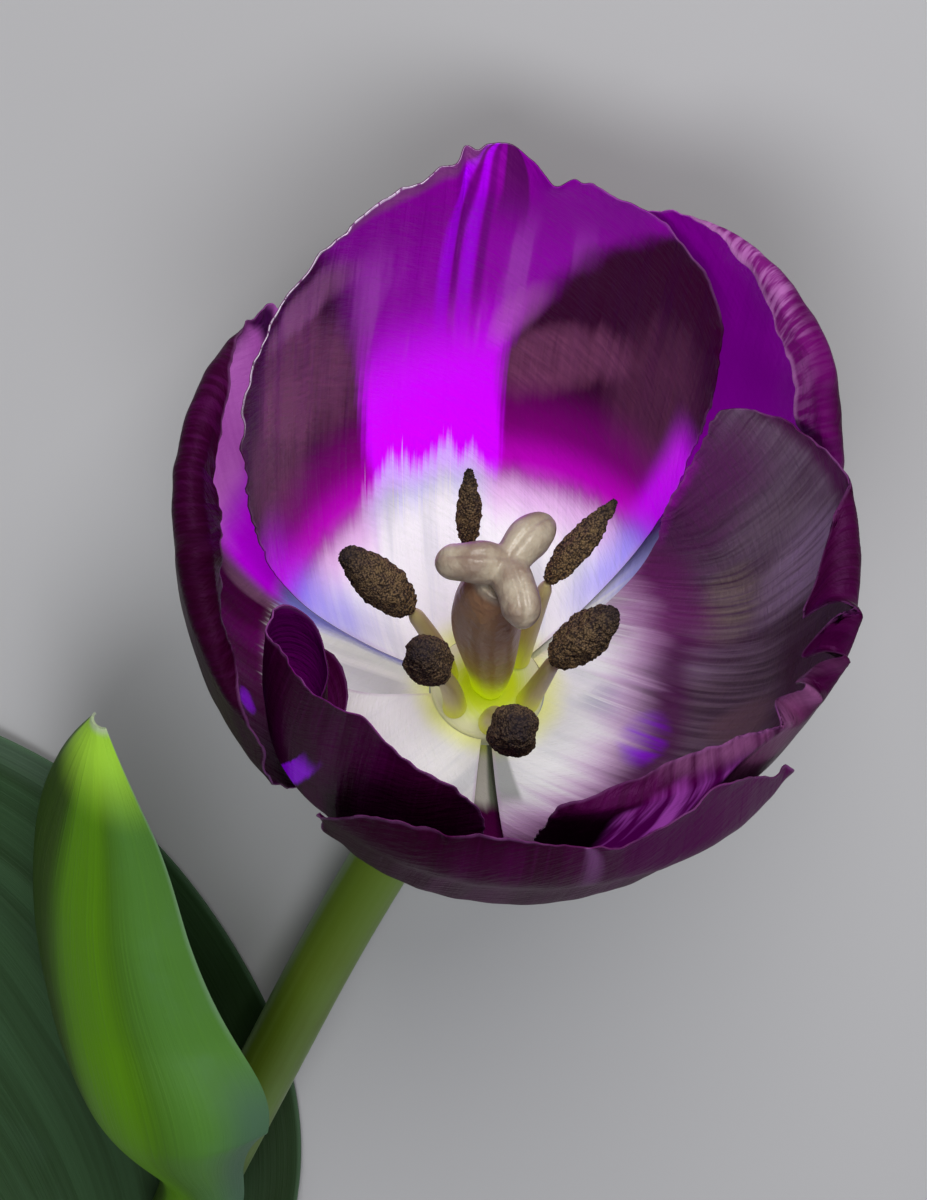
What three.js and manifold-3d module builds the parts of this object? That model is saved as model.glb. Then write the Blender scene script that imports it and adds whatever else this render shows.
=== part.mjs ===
// A cut tulip that lies on a table: an open bloom of six tepals round a pistil and six stamens,
// a curved stem that ends in the receptacle, and two leaves that clasp the stem.
// Millimetres, +Z up. The table is the plane z = 0, the bloom faces +X and slightly up, and the
// origin is on the table under the middle of the whole flower.
import * as THREE from 'three';
import { mergeVertices } from 'three/addons/utils/BufferGeometryUtils.js';
import Module from 'manifold-3d';

// Driving dimensions, in millimetres, with angles in degrees
const BLOOM_BASE = new THREE.Vector3(85.73, -34.15, 19.4);
const BLOOM_RISE = 28;
const TEPAL_THICKNESS = 0.7;
const LEAF_THICKNESS = 0.9;
const CLEARANCE = 0.35;

const STEM_RADIUS = 3.6;
const STEM_RUN = 238;
const STEM_HEADING = 11.8;
const STEM_LEVEL_RUN = 62;
const STEM_HEIGHT_ON_LEAF = 5.3;
const RECEPTACLE_RADIUS = 5.8;
const RECEPTACLE_TOP = 1.2;

const OVARY_RADIUS = 3.6;
const OVARY_HEIGHT = 26.2;
const OVARY_LEAN = 1.9;
const STIGMA_REACH = 7.2;
const STIGMA_LOBE_RADIUS = 2.15;
const STIGMA_MIDDLE = new THREE.Vector2(-1.2, 0.8);
const FILAMENT_RING_RADIUS = 4.6;
const FILAMENT_FOOT_RADIUS = 1.4;
const FILAMENT_TIP_RADIUS = 0.85;
const FILAMENT_RISE = 6;

// How finely the sheets are divided
const TEPAL_COLUMNS = 20;
const TEPAL_ROWS = 20;
const LEAF_COLUMNS = 14;
const LEAF_ROWS = 26;

const degrees = THREE.MathUtils.degToRad;

// The bloom's own axes: right and far span the mouth, and axis runs from the base to the mouth
const AXIS = new THREE.Vector3(Math.cos(degrees(BLOOM_RISE)), 0, Math.sin(degrees(BLOOM_RISE)));
const RIGHT = new THREE.Vector3(0, -1, 0);
const FAR = new THREE.Vector3().crossVectors(AXIS, RIGHT);

// Each tepal is a sector of a cup. bearing is the direction of its midline round the axis, and
// spread is how far it reaches to its two sides at its widest. midline lists radius and height
// from base to tip. shoulder is the fraction of the length where each side starts to round in,
// and round holds the two powers of that curve. lean moves the side margins out, or in if it is
// negative. Ripples and rolls run along the margin: their place is an angle seen from the middle
// of the tepal laid flat, 0 at the tip. A roll turns the margin inwards and lays the rest flat
// once it has turned by most, in radians. A horn draws out the tip end at an angle off the midline.
const TEPALS = {
  tepal_inner_1: {
    bearing: 107, spread: [53.5, 69], shoulder: [0.58, 0.63], round: [[2.3, 2.7], [2.8, 2.6]], lean: [-4.2, -2.4],
    midline: [[6.2, 0.5], [13, 2], [22, 7], [28.5, 16], [31, 28], [32.4, 41], [33.4, 52.3]],
    ripples: [{ at: 0, reach: 110, depth: 8, count: 4, height: 0.8, phase: 0.6 }],
    folds: [{ at: 0.05, width: 0.22, from: 0.45, to: 0.95, height: 1.6 }],
    horns: [
      { at: 1.5, reach: 9, from: 0.9, push: 0, height: 1.8 },
      { at: -8, reach: 4, from: 0.93, push: -1.2, height: -0.5 },
    ],
  },
  tepal_inner_2: {
    bearing: -18, spread: [57, 66], shoulder: [0.82, 0.83], round: [[2.5, 2.2], [2.2, 1.3]], lean: [-3, -10],
    midline: [[6.2, 0.5], [13, 2], [22, 6], [28.5, 14], [31.8, 25], [33.6, 35], [34.8, 47]],
    rolls: [
      { at: 8, reach: 36, width: 7, radius: 1.6, most: 2.7 },
      { at: -40, reach: 26, width: 3.5, radius: 1.5, most: 2.2 },
    ],
    ripples: [{ at: -15, reach: 95, depth: 9, count: 4, height: 0.7, phase: 0 }],
  },
  tepal_inner_3: {
    bearing: -122, spread: [37.5, 37], shoulder: [0.51, 0.8], round: [[1.9, 2.2], [2.5, 2.2]], lean: [-8, -1],
    midline: [[6.2, 0.5], [13, 2], [22, 6.5], [28, 14], [30, 23], [30.5, 32], [30, 40.5]],
    rolls: [{ at: -68, reach: 32, width: 12, radius: 1.86, most: 5 }],
    ripples: [{ at: 0, reach: 110, depth: 7, count: 5, height: 0.6, phase: 0 }],
    horns: [
      { at: -32, reach: 12, from: 0.4, push: 5.7, height: 0 },
      { at: 9, reach: 16, from: 0.6, push: 4.5, height: 0 },
    ],
  },
  tepal_outer_1: {
    bearing: 45, spread: [30, 55], shoulder: [0.51, 0.5], round: [[2.1, 1.9], [2.1, 2]], lean: [1.6, 1.6],
    midline: [[6.2, -0.8], [14, 1], [24, 6], [30, 15], [33.1, 27], [32.8, 40], [32.2, 58]],
    rolls: [{ at: -25, reach: 58, width: 7.3, radius: 1.3, most: 2.75 }],
    ripples: [{ at: -35, reach: 110, depth: 8, count: 5, height: 0.5, phase: 0 }],
  },
  tepal_outer_2: {
    bearing: 183, spread: [46.5, 48], shoulder: [0.5, 0.5], round: [[1.7, 2.1], [2.2, 2.1]], lean: [-0.6, -1.2],
    midline: [[6.2, -0.8], [14, 1], [24, 6], [31, 15], [33.9, 26], [35.2, 36], [36, 47]],
    rolls: [{ at: 15, reach: 50, width: 7, radius: 1.6, most: 2.7 }],
    ripples: [{ at: 35, reach: 110, depth: 8, count: 5, height: 0.6, phase: 0 }],
    horns: [{ at: -35, reach: 6, from: 0.7, push: 9, height: 1 }],
  },
  tepal_outer_3: {
    bearing: -71, spread: [45, 42], shoulder: [0.62, 0.82], round: [[2.3, 2.2], [2.6, 2.4]], lean: [-1, -0.6],
    midline: [[6.2, -0.8], [14, 1], [24, 5.5], [30.5, 14], [33.6, 25], [36.4, 33], [36, 42]],
    ripples: [{ at: 0, reach: 115, depth: 8, count: 3, height: 0.8, phase: 0.5 }],
    horns: [
      { at: 22, reach: 16, from: 0.6, push: 5.5, height: 0 },
      { at: 8, reach: 5, from: 0.8, push: -1.8, height: -0.8 },
      { at: -34, reach: 12, from: 0.5, push: 3, height: 0 },
    ],
  },
};

// Each stamen: the bearing of its foot on the receptacle, where its anther starts and ends as
// radius, bearing and height in the bloom, and the anther's half thickness
const STAMENS = [
  { foot: 121, start: [9.7, 124, 16], end: [13.9, 121, 25.5], radius: 1.4 },
  { foot: 57, start: [6.6, 58, 17], end: [15.6, 57, 24], radius: 1.6 },
  { foot: -12, start: [6.6, -25, 16], end: [10.9, 2, 24], radius: 2.4 },
  { foot: -76, start: [12, -76, 15], end: [15.5, -76, 24], radius: 2.7 },
  { foot: -131, start: [8.5, -131, 15], end: [12, -131, 24], radius: 2.5 },
  { foot: 182, start: [9.8, 184, 16], end: [17.8, 180, 24], radius: 2.4 },
];
const STIGMA_BEARINGS = [187, 57, -67];

// Colours and finishes
const paint = (color, roughness) => new THREE.MeshStandardMaterial({ color, roughness, metalness: 0 });
const INNER_TEPAL = paint(0xa02bc8, 0.45);
const OUTER_TEPAL = paint(0x5a1050, 0.45);
const STEM_GREEN = paint(0x7fa245, 0.5);
const LEAF_BRIGHT = paint(0x5f9a35, 0.5);
const LEAF_DARK = paint(0x2c5240, 0.55);
const PISTIL_CREAM = paint(0xd9cfa4, 0.5);
const FILAMENT_PALE = paint(0xd9dc9a, 0.5);
const POLLEN_BROWN = paint(0x5b4425, 0.95);

// Curves and smooth steps
const clamp01 = (x) => Math.min(Math.max(x, 0), 1);
const ease = (x) => x * x * (3 - 2 * x);
const rise = (from, to, x) => ease(clamp01((x - from) / (to - from)));
const hump = (x, at, reach) => ease(clamp01(1 - Math.abs(x - at) / reach));

// A Catmull-Rom curve through rows of numbers, at a fraction of the way
function along(rows, fraction) {
  const place = clamp01(fraction) * (rows.length - 1);
  const index = Math.min(Math.floor(place), rows.length - 2);
  const t = place - index;
  const [before, from, to, after] = [-1, 0, 1, 2].map((step) => {
    const row = rows[Math.min(Math.max(index + step, 0), rows.length - 1)];
    return Array.isArray(row) ? row : [row];
  });
  return from.map((p, axis) => {
    const leave = (to[axis] - before[axis]) / 2;
    const arrive = (after[axis] - p) / 2;
    const cubic = 2 * p - 2 * to[axis] + leave + arrive;
    const square = -3 * p + 3 * to[axis] - 2 * leave - arrive;
    return ((cubic * t + square) * t + leave) * t + p;
  });
}

// A closed sheet of even thickness round a grid of points, with the same diagonals on both faces.
// Rows run along the sheet, columns across it, and column-by-row turns to the outer face.
function sheet(grid, thickness) {
  const rows = grid.length;
  const columns = grid[0].length;
  const middle = grid.flat();
  const at = (row, column) => middle[row * columns + column];
  const positions = [];
  for (const side of [0.5, -0.5]) {
    for (let row = 0; row < rows; row++) {
      for (let column = 0; column < columns; column++) {
        const across = at(row, Math.min(column + 1, columns - 1)).clone()
          .sub(at(row, Math.max(column - 1, 0)));
        const ahead = at(Math.min(row + 1, rows - 1), column).clone()
          .sub(at(Math.max(row - 1, 0), column));
        const outwards = across.cross(ahead).normalize();
        positions.push(...at(row, column).clone().addScaledVector(outwards, side * thickness));
      }
    }
  }
  const inner = rows * columns;
  const triangles = [];
  for (let row = 0; row < rows - 1; row++) {
    for (let column = 0; column < columns - 1; column++) {
      const a = row * columns + column;
      const [b, c, d] = [a + 1, a + columns + 1, a + columns];
      triangles.push(a, b, c, a, c, d);
      triangles.push(inner + a, inner + c, inner + b, inner + a, inner + d, inner + c);
    }
  }
  const rim = [];
  for (let column = 0; column < columns - 1; column++) rim.push(column);
  for (let row = 0; row < rows - 1; row++) rim.push(row * columns + columns - 1);
  for (let column = columns - 1; column > 0; column--) rim.push((rows - 1) * columns + column);
  for (let row = rows - 1; row > 0; row--) rim.push(row * columns);
  rim.forEach((from, index) => {
    const to = rim[(index + 1) % rim.length];
    triangles.push(to, from, inner + from, to, inner + from, inner + to);
  });
  return solid(positions, triangles);
}

// A closed round body along a path. radii gives one radius for each point, and shape scales it
// by the angle round the path.
function roundBody(path, radii, sides, shape = () => 1) {
  const positions = [];
  const triangles = [];
  const tangents = path.map((point, index) => path[Math.min(index + 1, path.length - 1)].clone()
    .sub(path[Math.max(index - 1, 0)]).normalize());
  let side = new THREE.Vector3().crossVectors(tangents[0], FAR).normalize();
  path.forEach((point, index) => {
    side = side.addScaledVector(tangents[index], -side.dot(tangents[index])).normalize();
    const up = new THREE.Vector3().crossVectors(tangents[index], side);
    for (let step = 0; step < sides; step++) {
      const angle = (2 * Math.PI * step) / sides;
      const radius = radii[index] * shape(angle);
      positions.push(...point.clone().addScaledVector(side, radius * Math.cos(angle))
        .addScaledVector(up, radius * Math.sin(angle)));
    }
  });
  const last = (path.length - 1) * sides;
  const [head, tail] = [path.length * sides, path.length * sides + 1];
  positions.push(...path[0], ...path[path.length - 1]);
  for (let step = 0; step < sides; step++) {
    const next = (step + 1) % sides;
    for (let ring = 0; ring < last; ring += sides) {
      triangles.push(ring + step, ring + next, ring + sides + next);
      triangles.push(ring + step, ring + sides + next, ring + sides + step);
    }
    triangles.push(head, next, step, tail, last + step, last + next);
  }
  return solid(positions, triangles);
}

function solid(positions, triangles) {
  const geometry = new THREE.BufferGeometry();
  geometry.setAttribute('position', new THREE.Float32BufferAttribute(positions, 3));
  geometry.setIndex(triangles);
  return geometry;
}

// Places in the bloom
function inBloom(radius, bearing, height) {
  return BLOOM_BASE.clone()
    .addScaledVector(RIGHT, radius * Math.cos(degrees(bearing)))
    .addScaledVector(FAR, radius * Math.sin(degrees(bearing)))
    .addScaledVector(AXIS, height);
}

// How far a tepal reaches to one side of its midline at a fraction of its length, in radians
function tepalReach(tepal, side, fraction) {
  const index = side < 0 ? 0 : 1;
  const past = clamp01((fraction - tepal.shoulder[index]) / (1 - tepal.shoulder[index]));
  const [power, root] = tepal.round[index];
  return degrees(tepal.spread[index]) * (1 - past ** power) ** (1 / root);
}

// The middle surface of a tepal as a function of across, -1 to 1, and of the fraction of its length.
// Laid flat, every place is seen from the tepal's middle: swing is its direction, and inset its
// distance to the margin on that line.
function tepalSurface(tepal) {
  const midline = new THREE.SplineCurve(tepal.midline.map(([radius, height]) => new THREE.Vector2(radius, height)));
  const length = midline.getLength();
  const seen = (x, y) => ({ swing: THREE.MathUtils.radToDeg(Math.atan2(x, y)), reach: Math.hypot(x, y) });
  const margin = [];
  for (let step = -200; step <= 200; step++) {
    const fraction = 1 - Math.abs(step / 200) ** 1.6;
    const x = Math.sign(step) * tepalReach(tepal, step, fraction) * midline.getPointAt(fraction).x;
    margin.push(seen(x, (fraction - 0.5) * length));
  }
  const marginReach = (swing) => {
    const next = margin.findIndex((sample) => sample.swing > swing);
    if (next < 1) return margin[next < 0 ? margin.length - 1 : 0].reach;
    const [from, to] = [margin[next - 1], margin[next]];
    return THREE.MathUtils.mapLinear(swing, from.swing, to.swing, from.reach, to.reach);
  };
  return (across, fraction) => {
    const { x: radius, y: height } = midline.getPointAt(fraction);
    const { x: opening, y: rising } = midline.getTangentAt(fraction);
    const side = across < 0 ? 0 : 1;
    const angle = across * tepalReach(tepal, across, fraction);
    const bearing = degrees(tepal.bearing) + angle;
    const lateral = angle / degrees(tepal.spread[side]);
    const { swing, reach } = seen(angle * radius, (fraction - 0.5) * length);
    const inset = Math.max(marginReach(swing) - reach, 0);

    let outwards = tepal.lean[side] * Math.abs(lateral) ** 2.2 * rise(0.1, 0.55, fraction);
    for (const fold of tepal.folds ?? []) {
      outwards += fold.height * hump(lateral, fold.at, fold.width) * rise(fold.from, fold.to, fraction);
    }
    for (const ripple of tepal.ripples ?? []) {
      const wave = Math.sin((ripple.count * Math.PI * (swing - ripple.at)) / ripple.reach + ripple.phase);
      const near = clamp01(1 - inset / ripple.depth) ** 1.5;
      outwards += ripple.height * hump(swing, ripple.at, ripple.reach) * near * wave;
    }
    let [slide, lift] = [0, 0];
    for (const roll of tepal.rolls ?? []) {
      const turned = Math.max(roll.width * hump(swing, roll.at, roll.reach) ** 0.5 - inset, 0);
      const turn = Math.min(turned / roll.radius, roll.most);
      const flap = turned - turn * roll.radius;
      slide += roll.radius * Math.sin(turn) + flap * Math.cos(turn) - turned;
      lift -= roll.radius * (1 - Math.cos(turn)) + flap * Math.sin(turn);
    }
    const around = slide * Math.sin(degrees(swing));
    let forwards = slide * Math.cos(degrees(swing));
    for (const horn of tepal.horns ?? []) {
      const strength = hump(THREE.MathUtils.radToDeg(angle), horn.at, horn.reach) * rise(horn.from, 1, fraction);
      forwards += horn.push * strength;
      outwards += horn.height * strength;
    }
    const normal = outwards + lift;
    const radial = radius + forwards * opening + normal * rising;
    const axial = height + forwards * rising - normal * opening;
    const point = BLOOM_BASE.clone()
      .addScaledVector(RIGHT, radial * Math.cos(bearing) - around * Math.sin(bearing))
      .addScaledVector(FAR, radial * Math.sin(bearing) + around * Math.cos(bearing))
      .addScaledVector(AXIS, axial);
    point.z = Math.max(point.z, TEPAL_THICKNESS / 2);
    return point;
  };
}

function makeTepal(tepal) {
  const surface = tepalSurface(tepal);
  const grid = [];
  for (let row = 0; row <= TEPAL_ROWS; row++) {
    const fraction = 0.995 * Math.sin((Math.PI / 2) * (row / TEPAL_ROWS));
    grid.push([]);
    for (let column = 0; column <= TEPAL_COLUMNS; column++) {
      const across = Math.sin((Math.PI / 2) * ((2 * column) / TEPAL_COLUMNS - 1) * 0.8) / Math.sin(Math.PI * 0.4);
      grid[row].push(surface(across, fraction));
    }
  }
  return sheet(grid, TEPAL_THICKNESS);
}

// The stem: down along the bloom's axis, round to the table, and straight on to the cut end
const HEADING = new THREE.Vector3(-Math.cos(degrees(STEM_HEADING)), Math.sin(degrees(STEM_HEADING)), 0);

function stemCentre(run) {
  const point = BLOOM_BASE.clone().addScaledVector(HEADING, run);
  point.z = THREE.MathUtils.lerp(STEM_HEIGHT_ON_LEAF, STEM_RADIUS, rise(120, STEM_RUN, run));
  return point;
}

function makeStem() {
  const level = stemCentre(STEM_LEVEL_RUN);
  const bend = new THREE.CubicBezierCurve3(
    BLOOM_BASE.clone().addScaledVector(AXIS, RECEPTACLE_TOP),
    BLOOM_BASE.clone().addScaledVector(AXIS, -12),
    level.clone().addScaledVector(HEADING, -34),
    level,
  );
  const swelling = [
    [0, RECEPTACLE_RADIUS - 0.6], [0.5, RECEPTACLE_RADIUS], [2.9, RECEPTACLE_RADIUS], [4.4, 5.2], [6, 4.3], [9, 3.7],
  ];
  const length = bend.getLength();
  const path = swelling.map(([down]) => bend.getPointAt(down / length));
  const radii = swelling.map(([, radius]) => radius);
  for (let run = 15; run < length; run += 7) {
    path.push(bend.getPointAt(run / length));
    radii.push(STEM_RADIUS);
  }
  for (let run = STEM_LEVEL_RUN + 4; run < STEM_RUN; run += 16) {
    path.push(stemCentre(run));
    radii.push(STEM_RADIUS);
  }
  path.push(stemCentre(STEM_RUN));
  radii.push(STEM_RADIUS);
  return roundBody(path, radii, 16);
}

// A leaf: its midrib on the outer side, the direction that side faces, its width measured round
// the blade, and how far the blade folds to the two sides of the midrib, in degrees
const SHEATH = STEM_RADIUS + CLEARANCE + LEAF_THICKNESS / 2;
const SHEATH_SIDE = new THREE.Vector3(0.25, 0.86, 0.42).normalize();
const DOWN = new THREE.Vector3(0, 0, -1);
const onSheath = (run, side, looseness = 0) => stemCentre(run).addScaledVector(side, SHEATH + looseness);
const fromBase = (x, y, z) => new THREE.Vector3(BLOOM_BASE.x + x, BLOOM_BASE.y + y, z);

const LEAVES = {
  leaf_upper: {
    midrib: [
      onSheath(104, SHEATH_SIDE), onSheath(93, SHEATH_SIDE, 1.8), fromBase(-74, 34.8, 14.4),
      fromBase(-58, 40.6, 15.9), fromBase(-41, 42.8, 19.5), fromBase(-25, 42.2, 23.5), fromBase(-10.4, 40.4, 27),
    ],
    facing: [
      SHEATH_SIDE, SHEATH_SIDE, new THREE.Vector3(-0.1, 0.85, 0.4), new THREE.Vector3(-0.25, 0.8, 0.5),
      new THREE.Vector3(-0.4, 0.75, 0.5), new THREE.Vector3(-0.4, 0.7, 0.5), new THREE.Vector3(-0.3, 0.7, 0.5),
    ],
    width: [12.6, 20, 38, 38.2, 33, 20.5, 3],
    foldUp: [100, 105, 92, 84, 78, 80, 80],
    foldDown: [60, 62, 31, 41, 54, 58, 70],
    wave: 0,
    lowest: 1.75,
  },
  leaf_lower: {
    midrib: [
      onSheath(144, DOWN), onSheath(133, DOWN), onSheath(119, DOWN, 0.6), fromBase(-96, 29.6, 0.35), fromBase(-78, 39.6, 0.35),
      fromBase(-61, 54.8, 0.35), fromBase(-51, 77, 0.6), fromBase(-50, 102, 3),
    ],
    facing: [DOWN, DOWN, DOWN, DOWN, DOWN, DOWN, DOWN, DOWN],
    width: [15.2, 17, 30, 45, 52, 50, 38, 3],
    foldUp: [100, 95, 30, 4, 3, 6, 12, 18],
    foldDown: [100, 95, 30, 4, 3, 6, 12, 18],
    wave: 1,
    lowest: LEAF_THICKNESS / 2,
  },
};

function leafSurface(leaf) {
  const midrib = leaf.midrib.map((point) => point.toArray());
  const facing = leaf.facing.map((direction) => direction.toArray());
  return (across, fraction) => {
    const point = new THREE.Vector3(...along(midrib, fraction));
    const ahead = new THREE.Vector3(...along(midrib, fraction + 0.001))
      .sub(new THREE.Vector3(...along(midrib, fraction - 0.001))).normalize();
    const back = new THREE.Vector3(...along(facing, fraction));
    back.addScaledVector(ahead, -back.dot(ahead)).normalize();
    const sideways = new THREE.Vector3().crossVectors(ahead, back);
    const [width, up, down] = [leaf.width, leaf.foldUp, leaf.foldDown].map((rows) => along(rows, fraction)[0]);
    const radius = width / degrees(up + down);
    const angle = across * degrees(across > 0 ? up : down);
    const wave = leaf.wave * Math.abs(across) ** 3 * Math.sin(fraction * 17 + across) * rise(0.55, 0.75, fraction);
    point.addScaledVector(back, -radius * (1 - Math.cos(angle)) - wave);
    point.addScaledVector(sideways, radius * Math.sin(angle));
    point.z = Math.max(point.z, leaf.lowest);
    return point;
  };
}

function makeLeaf(leaf) {
  const surface = leafSurface(leaf);
  const grid = [];
  for (let row = 0; row <= LEAF_ROWS; row++) {
    grid.push([]);
    for (let column = 0; column <= LEAF_COLUMNS; column++) {
      grid[row].push(surface((2 * column) / LEAF_COLUMNS - 1, row / LEAF_ROWS));
    }
  }
  return sheet(grid, LEAF_THICKNESS);
}

// The pistil: a three-sided ovary that leans a little, with three stigma lobes spread over its top
async function makePistil() {
  const wasm = await Module();
  wasm.setup();
  const toSolid = (geometry) => {
    const merged = mergeVertices(geometry);
    return new wasm.Manifold(new wasm.Mesh({
      numProp: 3,
      vertProperties: new Float32Array(merged.attributes.position.array),
      triVerts: new Uint32Array(merged.index.array),
    }));
  };
  const foot = RECEPTACLE_TOP + CLEARANCE;
  const profile = [[0, 0.52], [0.07, 0.6], [0.25, 0.82], [0.5, 1], [0.7, 1.02], [0.88, 0.88], [1, 0.68]];
  const ovary = roundBody(
    profile.map(([rising]) => inBloom(OVARY_LEAN * Math.sin(2 * rising) ** 2, 180, foot + rising * (OVARY_HEIGHT - foot))),
    profile.map(([, wide]) => wide * OVARY_RADIUS),
    18,
    (angle) => 1 + 0.06 * Math.cos(3 * angle),
  );
  let pistil = toSolid(ovary);
  for (const bearing of STIGMA_BEARINGS) {
    const path = [];
    const radii = [];
    for (let step = 0; step <= 9; step++) {
      const out = step / 9;
      const droop = 1.5 * Math.sin(Math.PI * out);
      const radius = (STIGMA_REACH + 1.2) * out - 1.2;
      path.push(inBloom(radius, bearing, OVARY_HEIGHT + 0.9 + 2 * out ** 2 - 1.6 * out + droop)
        .addScaledVector(RIGHT, STIGMA_MIDDLE.x).addScaledVector(FAR, STIGMA_MIDDLE.y));
      const blunt = Math.sqrt(1 - clamp01((out - 0.8) / 0.22) ** 2);
      radii.push(STIGMA_LOBE_RADIUS * (0.72 + 0.28 * Math.sin(Math.PI * out)) * blunt);
    }
    pistil = pistil.add(toSolid(roundBody(path, radii, 12)));
  }
  const mesh = pistil.getMesh();
  return solid(Array.from(mesh.vertProperties), Array.from(mesh.triVerts));
}

// A stamen: a tapered filament and, above it, a long anther split by a groove
function makeFilament({ foot, start }) {
  const from = inBloom(FILAMENT_RING_RADIUS, foot, RECEPTACLE_TOP + CLEARANCE);
  const turn = inBloom(FILAMENT_RING_RADIUS + 0.8, foot, RECEPTACLE_TOP + FILAMENT_RISE);
  const curve = new THREE.QuadraticBezierCurve3(from, turn, inBloom(...start));
  const whole = curve.getLength();
  const path = [];
  const radii = [];
  for (let step = 0; step <= 6; step++) {
    const up = step / 6;
    path.push(curve.getPointAt(up * (1 - (2 * CLEARANCE) / whole)));
    radii.push(THREE.MathUtils.lerp(FILAMENT_FOOT_RADIUS, FILAMENT_TIP_RADIUS, up ** 0.8));
  }
  return roundBody(path, radii, 8);
}

function makeAnther({ start, end, radius }) {
  const from = inBloom(...start);
  const to = inBloom(...end);
  const path = [];
  const radii = [];
  for (let step = 0; step <= 8; step++) {
    const up = 0.5 - 0.5 * Math.cos((Math.PI * step) / 8);
    path.push(from.clone().lerp(to, up));
    radii.push(radius * (0.3 + 0.7 * Math.sin(Math.PI * up) ** 0.5));
  }
  return roundBody(path, radii, 12, (angle) => 1 - 0.14 * Math.cos(angle) ** 8);
}

// The whole flower
const tulip = new THREE.Group();

function place(name, geometry, material) {
  const mesh = new THREE.Mesh(geometry, material);
  mesh.name = name;
  tulip.add(mesh);
}

place('stem', makeStem(), STEM_GREEN);
place('pistil', await makePistil(), PISTIL_CREAM);
for (const [name, tepal] of Object.entries(TEPALS)) {
  place(name, makeTepal(tepal), name.includes('inner') ? INNER_TEPAL : OUTER_TEPAL);
}
STAMENS.forEach((stamen, index) => {
  place(`filament_${index + 1}`, makeFilament(stamen), FILAMENT_PALE);
  place(`anther_${index + 1}`, makeAnther(stamen), POLLEN_BROWN);
});
place('leaf_upper', makeLeaf(LEAVES.leaf_upper), LEAF_BRIGHT);
place('leaf_lower', makeLeaf(LEAVES.leaf_lower), LEAF_DARK);

export default tulip;
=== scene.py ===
from types import SimpleNamespace

import bpy
import numpy as np
from mathutils import Matrix


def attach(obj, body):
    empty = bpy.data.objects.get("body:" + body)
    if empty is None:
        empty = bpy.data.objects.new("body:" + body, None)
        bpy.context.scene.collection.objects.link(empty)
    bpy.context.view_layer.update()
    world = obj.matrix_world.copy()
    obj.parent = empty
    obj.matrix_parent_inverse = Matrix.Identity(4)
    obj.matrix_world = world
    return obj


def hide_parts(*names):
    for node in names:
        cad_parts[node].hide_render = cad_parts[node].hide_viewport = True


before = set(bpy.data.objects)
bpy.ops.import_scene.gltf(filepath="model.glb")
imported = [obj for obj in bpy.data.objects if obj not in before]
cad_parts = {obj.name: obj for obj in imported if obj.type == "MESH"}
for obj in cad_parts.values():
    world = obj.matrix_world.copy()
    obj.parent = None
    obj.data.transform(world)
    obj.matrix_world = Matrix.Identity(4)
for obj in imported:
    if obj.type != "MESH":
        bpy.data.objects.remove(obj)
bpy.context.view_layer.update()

# The stem: a round, juicy stalk under a thin waxy film, cut off with a knife at its foot. It lies
# along the table, lifts towards the bloom and swells into the receptacle that the flower grows from.
BLOOM_BASE = np.array([85.73, -34.15, 19.4])
AHEAD = np.array([1.0, 0, 0])
SKY = np.array([0.0, 0, 1])
RIGHT = np.array([0.0, -1, 0])


def turned(start, end, angle):
    """The direction at an angle from one direction towards a second one that is square to it."""
    return np.cos(angle) * start + np.sin(angle) * end


BLOOM_RISE = np.radians(28)
AXIS = turned(AHEAD, SKY, BLOOM_RISE)
FAR = np.cross(AXIS, RIGHT)
STEM_HEADING = np.radians(11.8)
HEADING = np.array([-np.cos(STEM_HEADING), np.sin(STEM_HEADING), 0])
STEM_RADIUS = 3.6
STEM_RUN = 238
STEM_LEVEL_RUN = 62
STEM_HEIGHT_ON_LEAF = 5.3
RECEPTACLE_TOP = 1.2
STEM_SIDES = 72


def rise(low, high, x):
    step = np.clip((x - low) / (high - low), 0, 1)
    return step * step * (3 - 2 * step)


def hump(x, middle, reach):
    return rise(0, 1, 1 - np.abs(x - middle) / reach)


def through(rows, fraction):
    """A smooth curve through rows of numbers, at fractions of the way."""
    rows = np.array(rows, float).reshape(len(rows), -1)
    place = np.clip(np.asarray(fraction, float), 0, 1) * (len(rows) - 1)
    index = np.minimum(place.astype(int), len(rows) - 2)
    t = (place - index)[..., None]
    before, start = rows[np.maximum(index - 1, 0)], rows[index]
    end, after = rows[index + 1], rows[np.minimum(index + 2, len(rows) - 1)]
    leave = (end - before) / 2
    arrive = (after - start) / 2
    cubic = 2 * start - 2 * end + leave + arrive
    square = 3 * end - 3 * start - 2 * leave - arrive
    return ((cubic * t + square) * t + leave) * t + start


def unit(vectors):
    return vectors / np.maximum(np.linalg.norm(vectors, axis=-1, keepdims=True), 1e-9)


def for_each_point(values, sides):
    """What is given for each ring of a tube, for each of its points, its two end points last."""
    return np.concatenate([np.repeat(values, sides, 0), values[:1], values[-1:]])


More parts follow.
